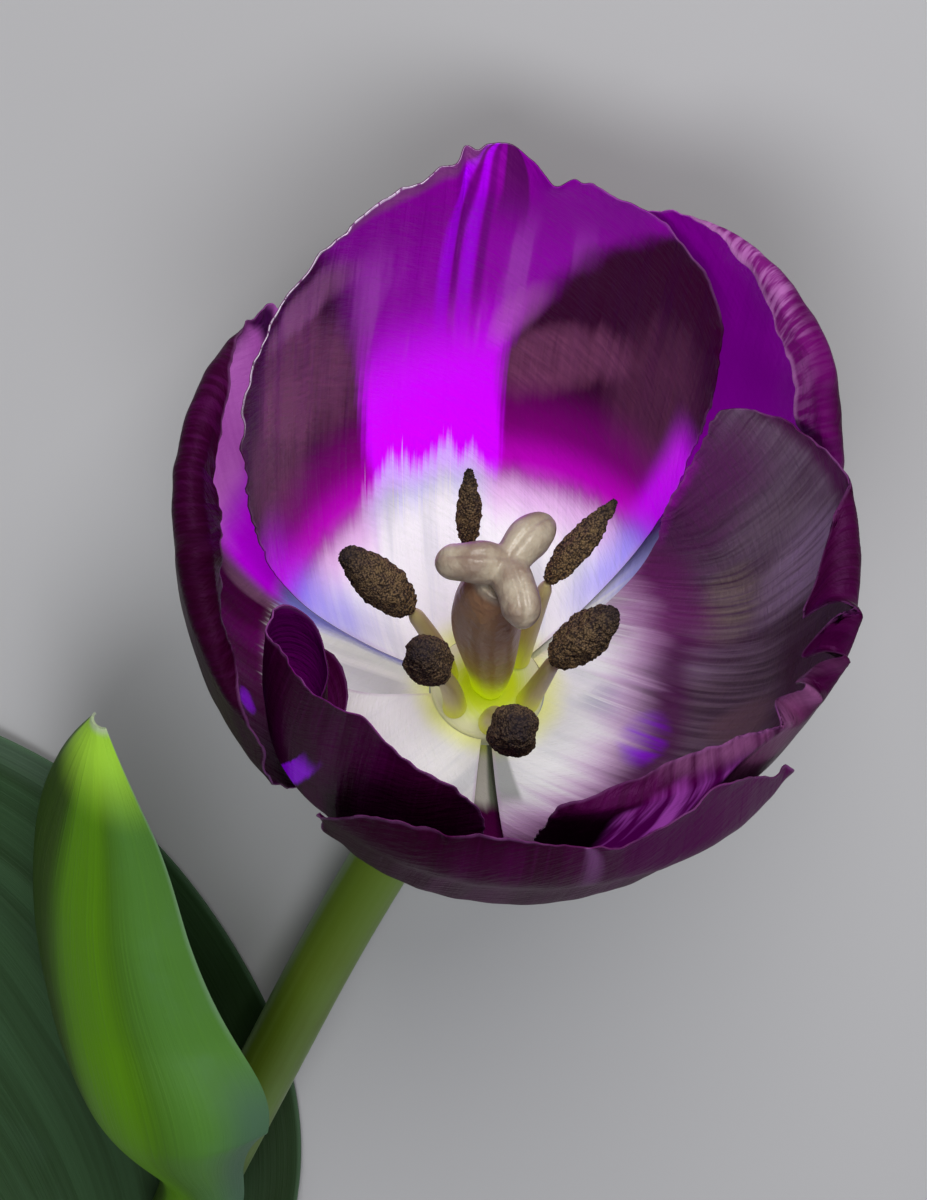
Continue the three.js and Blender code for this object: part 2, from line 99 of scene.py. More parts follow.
def tube(path, radii, sides, shape):
    """Points and faces of a closed round body along a path, and each point's angle and run."""
    ahead = unit(np.gradient(path, axis=0))
    angle = np.linspace(0, 2 * np.pi, sides, endpoint=False)
    side = unit(np.cross(ahead[0], FAR))
    rings = []
    for centre, radius, tangent in zip(path, radii, ahead):
        side = unit(side - side @ tangent * tangent)
        up = np.cross(tangent, side)
        spokes = np.outer(np.cos(angle), side) + np.outer(np.sin(angle), up)
        rings.append(centre + radius * shape(angle)[:, None] * spokes)
    points = np.concatenate([*rings, path[:1], path[-1:]])
    last = (len(path) - 1) * sides
    around = [(step, (step + 1) % sides) for step in range(sides)]
    faces = [
        (ring + step, ring + after, ring + sides + after, ring + sides + step)
        for ring in range(0, last, sides) for step, after in around
    ]
    for step, after in around:
        faces += [(last + sides, after, step), (last + sides + 1, last + step, last + after)]
    turn = np.append(np.tile(angle / (2 * np.pi), len(path)), [0, 0])
    return points, faces, {"turn": turn, "run": for_each_point(np.linspace(0, 1, len(path)), sides)}


def grow(name, points, faces, marks, finish, crease=60):
    """Adds a piece from points in millimetres. Its marks are numbers that its finish reads."""
    mesh = bpy.data.meshes.new(name)
    mesh.from_pydata((np.asarray(points) / 1000).tolist(), [], faces)
    for mark, values in marks.items():
        stored = mesh.attributes.new(mark, "FLOAT", "POINT")
        stored.data.foreach_set("value", np.asarray(values, np.float32).ravel())
    mesh.shade_smooth()
    mesh.set_sharp_from_angle(angle=np.radians(crease))
    mesh.materials.append(finish)
    piece = bpy.data.objects.new(name, mesh)
    bpy.context.collection.objects.link(piece)
    return piece


class Dye:
    """An output of a material's nodes. Sums on it add Math nodes."""

    def __init__(self, tree, output=None):
        self.tree = tree
        self.output = output

    def node(self, kind, settings=None, sockets=None, output=0):
        """Adds a node, makes its settings first, then fills its sockets, and returns one output."""
        node = self.tree.nodes.new("ShaderNode" + kind)
        for name, value in (settings or {}).items():
            if name == "stops":
                ramp = node.color_ramp
                ramp.interpolation = "CARDINAL"
                ramp.elements.remove(ramp.elements[1])
                ramp.elements[0].position = value[0][0]
                ramp.elements[0].color = (*value[0][1], 1)
                for place, colour in value[1:]:
                    ramp.elements.new(place).color = (*colour, 1)
            else:
                setattr(node, name, value)
        for name, value in (sockets or {}).items():
            socket = node.inputs[name]
            if isinstance(value, Dye):
                self.tree.links.new(value.output, socket)
            elif socket.type == "RGBA":
                socket.default_value = (*value, 1)
            else:
                socket.default_value = value
        return Dye(self.tree, node.outputs[output] if node.outputs else None)

    def maths(self, operation, *values):
        return self.node("Math", {"operation": operation}, dict(enumerate(values)))

    def __add__(self, other):
        return self.maths("ADD", self, other)

    def __radd__(self, other):
        return self.maths("ADD", other, self)

    def __sub__(self, other):
        return self.maths("SUBTRACT", self, other)

    def __rsub__(self, other):
        return self.maths("SUBTRACT", other, self)

    def __mul__(self, other):
        return self.maths("MULTIPLY", self, other)

    def __rmul__(self, other):
        return self.maths("MULTIPLY", other, self)

    def away(self, middle):
        return self.maths("ABSOLUTE", self - middle)

    def rise(self, low, high):
        """0 up to low, 1 from high on, smooth between. It falls instead if low is above high."""
        limits = {"Value": self, "From Min": low, "From Max": high}
        return self.node("MapRange", {"interpolation_type": "SMOOTHSTEP"}, limits)

    def band(self, start, full, ebb, end):
        """0 up to start, 1 from full to ebb, 0 from end on, smooth between."""
        return self.rise(start, full) * self.rise(end, ebb)

    def fray(self, noise, depth):
        """This value, moved up and down by a noise."""
        return self + (noise - 0.5) * depth

    def lay(self, under, colour):
        """The colour under, with another colour laid on it as thickly as this mask says."""
        return self.node("Mix", {"data_type": "RGBA"}, {0: self, 6: under, 7: colour}, 2)

    def light(self, colour):
        """Light of a colour, as strong as this mask says."""
        return self.lay((0, 0, 0), colour)

    def line(self, *stops):
        """The smooth line through pairs of this value, from 0 to 1, and a height, from -2 to 2."""
        greys = [(place, ((height + 2) / 4,) * 3) for place, height in stops]
        return self.node("ValToRGB", {"stops": greys}, {"Fac": self}) * 4 - 2

    def mark(self, name):
        return self.node("Attribute", {"attribute_name": name}, output=2)

    def at(self, x, y, z):
        return self.node("CombineXYZ", sockets={0: x, 1: y, 2: z})

    def noise(self, place, scale=1, detail=3, roughness=0.55):
        return self.node("TexNoise", sockets={
            "Vector": place, "Scale": scale, "Detail": detail, "Roughness": roughness,
        })

    def grain(self, x, y, z, detail=3, roughness=0.55):
        """Noise that changes once for each whole step of x, of y and of z."""
        return self.noise(self.at(x, y, z), 1, detail, roughness)

    def bump(self, height, distance, strength=1.0, under=None):
        sockets = {"Height": height, "Distance": distance, "Strength": strength}
        if under is not None:
            sockets["Normal"] = under
        return self.node("Bump", sockets=sockets)


def finish(name):
    """A new material, and the Dye that its nodes start from."""
    material = bpy.data.materials.new(name)
    material.use_nodes = True
    material.node_tree.nodes.clear()
    return material, Dye(material.node_tree)


def layered(colour, *coats):
    """A colour with coats over it. Each coat is the mask of where it lies, and its own colour."""
    for mask, coat in coats:
        colour = mask.lay(colour, coat)
    return colour


def skin(dye, **sockets):
    """Closes a material with one Principled shader."""
    shader = dye.node("BsdfPrincipled", sockets={name.replace("_", " "): v for name, v in sockets.items()})
    dye.node("OutputMaterial", sockets={"Surface": shader})


def stem_centre(run):
    point = BLOOM_BASE + HEADING * run
    height = STEM_HEIGHT_ON_LEAF + (STEM_RADIUS - STEM_HEIGHT_ON_LEAF) * rise(120, STEM_RUN, run)
    return np.array([point[0], point[1], height])


bend_ends = [
    BLOOM_BASE + AXIS * RECEPTACLE_TOP, BLOOM_BASE - AXIS * 12,
    stem_centre(STEM_LEVEL_RUN) - HEADING * 34, stem_centre(STEM_LEVEL_RUN),
]
t = np.linspace(0, 1, 400)[:, None]
bend = (1 - t) ** 3 * bend_ends[0] + 3 * (1 - t) ** 2 * t * bend_ends[1] \
    + 3 * (1 - t) * t ** 2 * bend_ends[2] + t ** 3 * bend_ends[3]
stem_line = np.concatenate([bend, [stem_centre(run) for run in np.linspace(63, STEM_RUN, 200)]])
stem_gone = np.append(0, np.cumsum(np.linalg.norm(np.diff(stem_line, axis=0), axis=1)))
stem_length = stem_gone[-1]
stem_stations = np.concatenate([
    [0, 0.08, 0.25, 0.5], np.linspace(0.9, 12, 30), np.linspace(12.6, stem_length - 1, 260),
    stem_length - np.array([0.5, 0.2, 0.06, 0]),
])
stem_swell = [0, 0.25, 0.5, 1.5, 2.9, 3.6, 4.4, 5.2, 6, 7.5, 9, 14, stem_length - 0.3, stem_length]
stem_widths = [5.8, 6.0, 6.08, 6.1, 5.9, 5.5, 5.1, 4.7, 4.3, 3.9, 3.7, 3.58, 3.6, 3.35]
stem_path = np.stack([np.interp(stem_stations, stem_gone, stem_line[:, k]) for k in range(3)], -1)
stem_radii = np.interp(stem_stations, stem_swell, stem_widths)
points, faces, marks = tube(stem_path, stem_radii, STEM_SIDES, lambda a: 1 - 0.006 * np.cos(11 * a) ** 2)
marks["down"] = for_each_point(stem_stations, STEM_SIDES)
# the light from above leaves the two sides of the stalk greyer than its back
outwards = points - for_each_point(stem_path, STEM_SIDES)
marks["side"] = unit(outwards) @ unit(np.cross(HEADING, SKY))
marks["core"] = np.linalg.norm(outwards, axis=1) / STEM_RADIUS

stem_green, dye = finish("stem_green")
down, side, turn, core = (dye.mark(name) for name in ("down", "side", "turn", "core"))
lines = dye.grain(turn * 34, down * 0.02, 0, 4)
clouds = dye.grain(turn * 5, down * 0.08, 3)
crown = core.fray(lines, 0.6).rise(0.7, 1.55).lay((0.46, 0.53, 0.01), (0.62, 0.62, 0.36))
pith = core.rise(0.86, 0.5).lay((0.3, 0.42, 0.13), (0.62, 0.68, 0.4))
# painted light and shade in the stalk's green: darker on one side than the other, lighter towards the bloom,
# and a pale painted highlight along both sides
colour = layered(
    side.rise(0.3, -0.6).lay((0.075, 0.125, 0.006), (0.115, 0.185, 0.045)),
    (clouds.rise(0.35, 0.75) * 0.45, (0.085, 0.105, 0.01)),
    (lines.rise(0.42, 0.7) * 0.35, (0.11, 0.18, 0.03)),
    (down.rise(80, 35) * 0.6, (0.155, 0.25, 0.03)),
    (side.rise(0.82, 1) * 0.7 + side.rise(-0.86, -0.98) * 0.6, (0.22, 0.32, 0.16)),
    (down.rise(16, 3) * 0.7, (0.42, 0.52, 0.1)),
    (down.rise(4, 2), crown),
    (down.rise(stem_length - 0.25, stem_length - 0.05), pith),
)
# the crown of the receptacle glows like the petals' feet around it
crown_light = core.rise(0.7, 1.5).lay((0.13, 0.16, 0), (0.14, 0.14, 0.09))
skin(
    dye, Base_Color=colour, Roughness=0.36 + 0.16 * clouds, Normal=dye.bump(lines, 0.00008, 0.5),
    Coat_Weight=0.03, Coat_Roughness=0.3, Subsurface_Weight=0.06, Subsurface_Radius=(0.002, 0.003, 0.001),
    Specular_IOR_Level=0.2, Emission_Color=down.rise(3, 0.5).light(crown_light), Emission_Strength=1,
)
stem = grow("stem_stalk", points, faces, marks, stem_green)
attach(stem, "root")
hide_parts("stem")

# The pistil: a fleshy three-sided ovary that grows out of the receptacle, with three waxy stigma
# lobes spread over its top, each folded into two lips along its middle.
OVARY_RADIUS = 3.6
OVARY_HEIGHT = 26.2
OVARY_LEAN = 1.9
OVARY_WIDTHS = [0.52, 0.63, 0.74, 0.84, 0.93, 1.0, 1.03, 1.02, 0.96, 0.86, 0.68]
ROOTING_HEIGHT = RECEPTACLE_TOP + 0.35
STIGMA_REACH = 7.2
STIGMA_LOBE_RADIUS = 2.15
STIGMA_MIDDLE = -1.2 * RIGHT + 0.8 * FAR
STIGMA_BEARINGS = [187, 57, -67]


def in_bloom(radius, bearing, height):
    """A place in the bloom, from its distance and bearing round the axis and its height."""
    return BLOOM_BASE + radius * turned(RIGHT, FAR, np.radians(bearing)) + height * AXIS


climb = np.linspace(0, 1, 60)
ovary_path = np.array([
    in_bloom(OVARY_LEAN * np.sin(2 * up) ** 2, 180, ROOTING_HEIGHT + up * (OVARY_HEIGHT - ROOTING_HEIGHT))
    for up in climb
])
ovary_radii = OVARY_RADIUS * through(OVARY_WIDTHS, climb)[:, 0]
points, faces, _ = tube(
    ovary_path, ovary_radii, 72, lambda a: 1 + 0.06 * np.cos(3 * a) - 0.03 * np.cos(3 * a) ** 16,
)
for bearing in STIGMA_BEARINGS:
    out = np.linspace(0, 1, 48)
    droop = 1.5 * np.sin(np.pi * out)
    lobe_path = STIGMA_MIDDLE + np.array([
        in_bloom(
            (STIGMA_REACH + 1.2) * o - 1.2, bearing + 7 * np.sin(3 * o),
            OVARY_HEIGHT + 0.9 + 2 * o**2 - 1.6 * o + d,
        )
        for o, d in zip(out, droop)
    ])
    lobe_radii = STIGMA_LOBE_RADIUS * (0.72 + 0.28 * np.sin(np.pi * out)) \
        * np.sqrt(1 - np.clip((out - 0.8) / 0.205, 0, 1) ** 2)
    lobe_radii *= 1 + 0.05 * np.sin(11 * out + np.radians(bearing))
    ahead = unit(lobe_path[1] - lobe_path[0])
    side = unit(np.cross(ahead, FAR))
    top = np.arctan2(AXIS @ np.cross(ahead, side), AXIS @ side)
    lobe = tube(
        lobe_path, lobe_radii, 48,
        lambda a: 1.02 - 0.16 * np.exp(-(((a - top + np.pi) % (2 * np.pi) - np.pi) / 0.16) ** 2),
    )
    faces += [tuple(corner + len(points) for corner in face) for face in lobe[1]]
    points = np.concatenate([points, lobe[0]])

pistil_flesh, dye = finish("pistil_flesh")
place = dye.node("TexCoord", output=3)
height = dye.node("VectorMath", {"operation": "DOT_PRODUCT"}, {0: place, 1: AXIS * 1000}, 1)
height = height - float(BLOOM_BASE @ AXIS)
mottle = dye.noise(place, 260, 4)
grain = dye.noise(place, 2600, 2)
stigma = (height + mottle * 1.6).rise(OVARY_HEIGHT - 0.6, OVARY_HEIGHT + 0.5)
colour = layered(
    height.rise(3, 11).lay((0.56, 0.68, 0.02), (0.42, 0.28, 0.06)),
    (height.rise(9, 17), (0.34, 0.19, 0.11)),
    (mottle.rise(0.4, 0.7) * 0.3, (0.44, 0.28, 0.14)),
    (stigma, mottle.rise(0.35, 0.65).lay((0.5, 0.43, 0.33), (0.29, 0.21, 0.16))),
)
# painted light: a yellow-green glow at the ovary's foot
skin(
    dye, Base_Color=colour, Roughness=0.42 - 0.1 * stigma,
    Normal=dye.bump(mottle, 0.0011, 0.7, dye.bump(grain, 0.00008, 0.4)), Specular_IOR_Level=0.3,
    Subsurface_Weight=0.2, Subsurface_Radius=(0.0016, 0.0011, 0.0007), Coat_Weight=0.04 + 0.25 * stigma,
    Coat_Roughness=0.25, Emission_Color=height.rise(9, 1.5).light((0.2, 0.26, 0)), Emission_Strength=1,
)
pistil = grow("pistil_and_stigma", points, faces, {}, pistil_flesh)
melt = pistil.modifiers.new("grown_together", "REMESH")
melt.mode = "VOXEL"
melt.voxel_size = 0.00017
melt.use_smooth_shade = True
soften = pistil.modifiers.new("softened", "SMOOTH")
soften.iterations = 4
grown_together = bpy.data.meshes.new_from_object(pistil.evaluated_get(bpy.context.evaluated_depsgraph_get()))
pistil.modifiers.clear()
pistil.data = grown_together
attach(pistil, "root")
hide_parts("pistil")

# The six stamens: each is a pale, tapered filament that grows from the receptacle beside the ovary,
# and on its point a long anther, split down the middle and caked with dark brown pollen.

# A stamen is its foot's bearing, its anther's start and end, and that anther's radius and taper.
STAMENS = [
    (121, [9.7, 124, 16], [13.9, 121, 25.5], 1.4, 0.45),
    (57, [6.6, 58, 17], [15.6, 57, 24], 1.6, 0.5),
    (-12, [6.6, -25, 16], [10.9, 2, 24], 2.4, 0.15),
    (-76, [12, -76, 15], [15.5, -76, 24], 2.7, 0),
    (-131, [8.5, -131, 15], [12, -131, 24], 2.5, 0),
    (182, [9.8, 184, 16], [17.8, 180, 24], 2.4, 0.2),
]
FILAMENT_RADIUS_LOW = 1.45
FILAMENT_RADIUS_HIGH = 0.85
ANTHER_RINGS = 90
ANTHER_SIDES = 84

filament_flesh, dye = finish("filament_flesh")
run = dye.mark("run")
streaks = dye.noise(dye.at(dye.mark("turn") * 9, run * 2, 0), 2)
colour = run.rise(0, 0.5).lay((0.58, 0.58, 0.08), (0.66, 0.56, 0.26))
colour = (streaks.rise(0.4, 0.7) * 0.3).lay(colour, (0.52, 0.4, 0.2))
# painted light: a yellow-green glow at each filament's foot
skin(
    dye, Base_Color=colour, Roughness=0.45, Normal=dye.bump(streaks, 0.0001, 0.3),
    Subsurface_Weight=0.2, Subsurface_Radius=(0.0012, 0.001, 0.0004), Coat_Weight=0.1,
    Emission_Color=run.rise(0.45, 0).light((0.09, 0.1, 0)), Emission_Strength=1,
)

pollen_crust, dye = finish("pollen_crust")
place = dye.node("TexCoord", output=3)
grains = dye.node("TexVoronoi", sockets={"Vector": place, "Scale": 4200.0})
dust = dye.noise(place, 1100, 4, 0.7)
run = dye.mark("run")
colour = layered(
    grains.rise(0.2, 0.75).lay((0.25, 0.16, 0.085), (0.036, 0.023, 0.018)),
    (dust.rise(0.5, 0.7) * 0.6, (0.3, 0.2, 0.09)),
    (dust.rise(0.48, 0.3) * 0.6, (0.045, 0.028, 0.036)),
    # painted light and shade: ochre towards the anther's start where light from behind catches it, dark
    # towards its end
    (run.rise(0.55, 0.05) * 0.55 * grains.rise(0.6, 0.2), (0.34, 0.2, 0.06)),
    (run.rise(0.5, 1) * 0.8, (0.018, 0.013, 0.022)),
)
crust = dye.bump(dust, 0.0005, 0.7, dye.bump(1 - grains, 0.00025, 0.8))
skin(dye, Base_Color=colour, Roughness=0.92, Normal=crust, Specular_IOR_Level=0.25)

rng = np.random.default_rng(7)
for number, (bearing, start, end, anther_radius, taper) in enumerate(STAMENS, 1):
    start, end = in_bloom(*start), in_bloom(*end)
    grows_from = in_bloom(4.6, bearing, ROOTING_HEIGHT)
    turns_at = in_bloom(5.4, bearing, RECEPTACLE_TOP + 6)
    t = np.linspace(0, 0.985, 40)[:, None]
    path = (1 - t) ** 2 * grows_from + 2 * (1 - t) * t * turns_at + t**2 * start
    radii = FILAMENT_RADIUS_LOW + (FILAMENT_RADIUS_HIGH - FILAMENT_RADIUS_LOW) * t[:, 0] ** 0.9
    radii[-3:] *= [0.9, 0.75, 0.5]
    points, faces, marks = tube(path, radii, 28, lambda a: 1 - 0.1 * np.cos(a) ** 2)
    filament = grow(f"filament_stalk_{number}", points, faces, marks, filament_flesh)
    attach(filament, "root")
    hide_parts(f"filament_{number}")

    up = 0.5 - 0.5 * np.cos(np.linspace(0, np.pi, ANTHER_RINGS))
    path = start + (end - start) * up[:, None]
    radii = anther_radius * (0.12 + 0.88 * np.sin(np.pi * np.clip(up, 0.001, 0.999)) ** 0.42)
    radii *= 1 - taper * rise(0.45, 1, up)
    points, faces, marks = tube(
        path, radii, ANTHER_SIDES,
        lambda a: 1 - 0.16 * np.abs(np.cos(a)) ** 14 - 0.05 * np.abs(np.sin(a)) ** 20,
    )
    caked = rng.normal(0, 1, (ANTHER_RINGS, ANTHER_SIDES))
    caked = (caked + np.roll(caked, 1, 0) + np.roll(caked, 1, 1) + np.roll(caked, (1, 1), (0, 1))) / 4
    clumps = rng.normal(0, 1, (ANTHER_RINGS // 5, ANTHER_SIDES // 6)).repeat(5, 0).repeat(6, 1)
    for _ in range(4):
        beside = (np.roll(clumps, way, axis) for axis in (0, 1) for way in (1, -1))
        clumps = sum(beside, clumps) / 5
    lift = np.append((0.13 * caked + 0.1 * clumps).ravel(), [0, 0])
    points = points + unit(points - for_each_point(path, ANTHER_SIDES)) * lift[:, None]
    anther = grow(f"anther_crust_{number}", points, faces, marks, pollen_crust, 180)
    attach(anther, "root")
    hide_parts(f"anther_{number}")

# The three inner petals: silky sheets that grow from the receptacle in a cup, white at the foot and
# violet above, with fine lengthwise veins. Their thin margins are nibbled, and curl here and there.

# A petal's spread, shoulder, round and lean are given for its left and its right side. Its rolls, the
# curled parts of its margin, are (direction, reach, width, radius, most turn). Ripples are (direction,
# reach, depth, count, height, phase), folds (place, width, from, to, height), pleats (place, width,
# from, height), and horns, points that stand out or back, are (direction, reach, from, push, height).
# gloss says how much the wax on it shines.
INNER_PETALS = {
    "tepal_inner_1": dict(
        bearing=107, spread=[53.5, 69], shoulder=[0.58, 0.63], round=[[2.3, 2.7], [2.8, 2.6]],
        lean=[-4.2, -2.4],
        midline=[[6.2, 0.5], [13, 2], [22, 7], [28.5, 16], [31, 28], [32.4, 41], [33.4, 52.3]],
        ripples=[(0, 110, 8, 4, 0.8, 0.6)],
        folds=[(0.05, 0.22, 0.45, 0.95, 1.6)],
        pleats=[(2.7, 1.0, 0.5, -0.5), (3.8, 0.9, 0.45, 0.55), (5.0, 1.1, 0.5, -0.4)],
        horns=[(1.5, 9, 0.9, 0, 1.8), (-8, 4, 0.93, -1.2, -0.5)],
        seed=1, gloss=0.12,
    ),
    "tepal_inner_2": dict(
        bearing=-18, spread=[57, 66], shoulder=[0.82, 0.83], round=[[2.5, 2.2], [2.2, 1.3]],
        lean=[-3, -10],
        midline=[[6.2, 0.5], [13, 2], [22, 6], [28.5, 14], [31.8, 25], [33.6, 35], [34.8, 47]],
        rolls=[
            (24, 15, 7.0, 1.6, 2.7), (6, 6, 6.5, 1.5, 2.7), (-4, 6, 6.0, 1.5, 2.7), (-13, 6, 5.0, 1.5, 2.6),
            (-38, 24, 3.5, 1.5, 2.2),
        ],
        ripples=[(-15, 95, 9, 4, 0.7, 0)],
        seed=2, gloss=0.15,
    ),
    "tepal_inner_3": dict(
        bearing=-122, spread=[37.5, 37], shoulder=[0.51, 0.8], round=[[1.9, 2.2], [2.5, 2.2]],
        lean=[-8, -1],
        midline=[[6.2, 0.5], [13, 2], [22, 6.5], [28, 14], [30, 23], [30.5, 32], [30, 40.5]],
        rolls=[(-68, 32, 12, 1.86, 5)],
        ripples=[(0, 110, 7, 5, 0.6, 0)],
        horns=[(-32, 12, 0.4, 5.7, 0), (9, 16, 0.6, 4.5, 0)],
        seed=3, gloss=0.07,
    ),
}
PETAL_RIM_THICKNESS = 0.16
PETAL_THICKNESS = 0.5
CRIMP_HEIGHT = 0.3
SWELL_HEIGHT = 0.1
NIBBLE_DEPTH = 0.35


def wander(x, seed):
    """A smooth random line between -1 and 1 that turns about once for each whole step of x."""
    knots = np.random.default_rng(seed).uniform(-1, 1, 512)
    whole = np.floor(x).astype(int)
    part = rise(0, 1, x - whole)
    return knots[whole % 512] * (1 - part) + knots[(whole + 1) % 512] * part


def sided(petal, measure, side):
    """A petal's measure for the left or the right side."""
    return np.array(petal[measure], float)[(side >= 0).astype(int)]


def petal_reach(petal, side, fraction):
    """How far a petal reaches to one side of its midline, in radians."""
    shoulder, rounding = sided(petal, "shoulder", side), sided(petal, "round", side)
    past = np.clip((fraction - shoulder) / (1 - shoulder), 0, 1)
    return np.radians(sided(petal, "spread", side)) * (1 - past ** rounding[..., 0]) ** (1 / rounding[..., 1])


def petal_sheet(petal, across, along):
    """The middle of a petal's sheet, in millimetres, and the marks that its finish reads."""
    fine = through(petal["midline"], np.linspace(0, 1, 2001))
    gone = np.append(0, np.cumsum(np.linalg.norm(np.diff(fine, axis=0), axis=1)))
    length = gone[-1]
    heading = np.gradient(fine, gone, axis=0)
    radius, height = (np.interp(along * length, gone, fine[:, k]) for k in range(2))
    opening, rising = (np.interp(along * length, gone, heading[:, k]) for k in range(2))
    angle = across * petal_reach(petal, across, along)
    bearing = np.radians(petal["bearing"]) + angle
    lateral = angle / np.radians(sided(petal, "spread", across))

    # laid flat, every place is seen from the petal's middle: swing is its direction, and inset its
    # distance to the margin on that line
    margin_place = np.linspace(-1, 1, 801)
    margin_along = 1 - np.abs(margin_place) ** 1.6
    margin_x = np.sign(margin_place) * petal_reach(petal, margin_place, margin_along) \
        * np.interp(margin_along * length, gone, fine[:, 0])
    margin_y = (margin_along - 0.5) * length
    margin_swing = np.degrees(np.arctan2(margin_x, margin_y))
    margin_run = np.append(0, np.cumsum(np.hypot(np.diff(margin_x), np.diff(margin_y))))
    x, y = angle * radius, (along - 0.5) * length
    swing = np.degrees(np.arctan2(x, y))
    inset = np.maximum(np.interp(swing, margin_swing, np.hypot(margin_x, margin_y)) - np.hypot(x, y), 0)
    run = np.interp(swing, margin_swing, margin_run)

    outwards = sided(petal, "lean", across) * np.abs(lateral) ** 2.2 * rise(0.1, 0.55, along)
    for place, width, start, full, bulge in petal.get("folds", []):
        outwards += bulge * hump(lateral, place, width) * rise(start, full, along)
    for direction, reach, depth, count, bulge, phase in petal["ripples"]:
        wave = np.sin(count * np.pi * (swing - direction) / reach + phase)
        outwards += bulge * hump(swing, direction, reach) * np.clip(1 - inset / depth, 0, 1) ** 1.5 * wave
    free = rise(0.25, 0.5, along)
    crimp = wander(run / 2.6, petal["seed"]) + 0.5 * wander(run / 1.1, petal["seed"] + 20)
    outwards += CRIMP_HEIGHT * crimp * np.clip(1 - inset / 3, 0, 1) ** 2 * free
    outwards += SWELL_HEIGHT * wander(x * 0.55 + 40, petal["seed"] + 40) * free
    for place, width, start, bulge in petal.get("pleats", []):
        outwards += bulge * hump(x, place, width) * rise(start, 0.95, along)

    slide = np.zeros_like(inset)
    lift = np.zeros_like(inset)
    for direction, reach, width, bend, most in petal.get("rolls", []):
        uneven = 1 + 0.12 * wander(run / 3.5, petal["seed"] + 80)
        curled = np.maximum(width * uneven * hump(swing, direction, reach) ** 0.5 - inset, 0)
        turn = np.minimum(curled / bend, most)
        flap = curled - turn * bend
        slide += bend * np.sin(turn) + flap * np.cos(turn) - curled
        lift -= bend * (1 - np.cos(turn)) + flap * np.sin(turn)
    nibbled = 0.5 + 0.5 * wander(run / 0.9, petal["seed"] + 60)
    slide -= NIBBLE_DEPTH * nibbled * np.clip(1 - inset / 2, 0, 1) * free
    around = slide * np.sin(np.radians(swing))
    forwards = slide * np.cos(np.radians(swing))
    for direction, reach, start, push, bulge in petal.get("horns", []):
        strength = hump(np.degrees(angle), direction, reach) * rise(start, 1.0, along)
        forwards += push * strength
        outwards += bulge * strength

    normal = outwards + lift
    radial = radius + forwards * opening + normal * rising
    axial = height + forwards * rising - normal * opening
    spoke = turned(RIGHT, FAR, bearing[..., None])
    tangent = turned(FAR, -RIGHT, bearing[..., None])
    points = BLOOM_BASE + radial[..., None] * spoke + around[..., None] * tangent + axial[..., None] * AXIS
    return points, {"across": across, "along": along, "inset": inset, "swing": swing, "width": x}


def two_faced(middle, marks, thickness, lowest):
    """A closed thin sheet round a grid of middle points. The mark face is 0 inside and 1 outside."""
    outwards = unit(np.cross(np.gradient(middle, axis=1), np.gradient(middle, axis=0)))
    half = thickness[..., None] / 2
    middle[..., 2] = np.maximum(middle[..., 2], lowest + half[..., 0])
    rows, columns = middle.shape[:2]
    points = np.concatenate([middle + outwards * half, middle - outwards * half]).reshape(-1, 3)
    a = (np.arange(rows - 1)[:, None] * columns + np.arange(columns - 1)).ravel()
    outer = np.stack([a, a + 1, a + columns + 1, a + columns], -1)
    inner = outer[:, ::-1] + rows * columns
    top = (rows - 1) * columns
    rim = np.concatenate([
        np.arange(columns - 1), np.arange(rows - 1) * columns + columns - 1,
        top + np.arange(columns - 1, 0, -1), np.arange(rows - 1, 0, -1) * columns,
    ])
    ahead = np.roll(rim, -1)
    edge = np.stack([ahead, rim, rim + rows * columns, ahead + rows * columns], -1)
    doubled = {name: np.tile(values.ravel(), 2) for name, values in marks.items()}
    doubled["face"] = np.repeat([1.0, 0.0], rows * columns)
    return points, np.concatenate([outer, inner, edge]).tolist(), doubled


def petal_finish(name, seed, gloss, paint):
    """A petal's silky skin, with a painted rim light along its margin. paint gives the colours of its inner
    and outer face, painted light and shade among them, and the painted glow of the light that comes through
    to each."""
    material, dye = finish(name)
    p = SimpleNamespace(dye=dye)
    p.across, p.along, p.inset, p.swing, width = (
        dye.mark(mark) for mark in ("across", "along", "inset", "swing", "width")
    )
    p.up, p.aside = p.along.rise, p.across.rise
    p.veins = dye.grain(width * 2.1, p.along * 2.5, seed * 7, 4)
    p.broad = dye.grain(width * 0.55, p.along * 2.2, seed * 3)
    p.streaks = dye.grain(width * 0.24, p.along * 1.5, seed * 4)
    p.clouds = dye.grain(width * 0.12, p.along * 5, seed * 5, 4)
    p.wrinkles = dye.grain(width * 0.35 + p.along * 6, p.along * 70 - width * 0.9, seed * 2, 3, 0.6)
    inner, outer, glow, back_glow = paint(p)
    face = dye.mark("face").rise(0.4, 0.6)
    # painted rim light: a paler lilac line along the thin margin, patchy along its length
    rim = p.inset.rise(0.45, 0.05) * 0.5 * p.clouds.rise(0.3, 0.7)
    relief = dye.bump(p.broad, 0.0006, 0.5, dye.bump(p.wrinkles, 0.0005, 0.45))
    skin(
        dye, Base_Color=rim.lay(face.lay(inner, outer), (0.3, 0.1, 0.32)), Roughness=0.34 + 0.26 * p.clouds,
        Normal=dye.bump(p.veins, 0.0002, 0.5, relief), Specular_IOR_Level=gloss,
        Specular_Tint=(0.85, 0.35, 0.95), Emission_Color=face.lay(glow, back_glow), Emission_Strength=1,
    )
    return material


def patch(p, across, along, width, height, lean=0.0):
    """A soft oval on a petal, from its middle and half sizes. lean tips its long way off the veins."""
    x = (p.across - across - (p.along - along) * lean) * (1 / width)
    y = (p.along - along) * (1 / height)
    oval = (x * x + y * y).fray(p.clouds, 0.8).fray(p.streaks, 0.8).fray(p.broad, 1.4)
    return oval.fray(p.veins, 0.9).rise(1.5, 0.1)


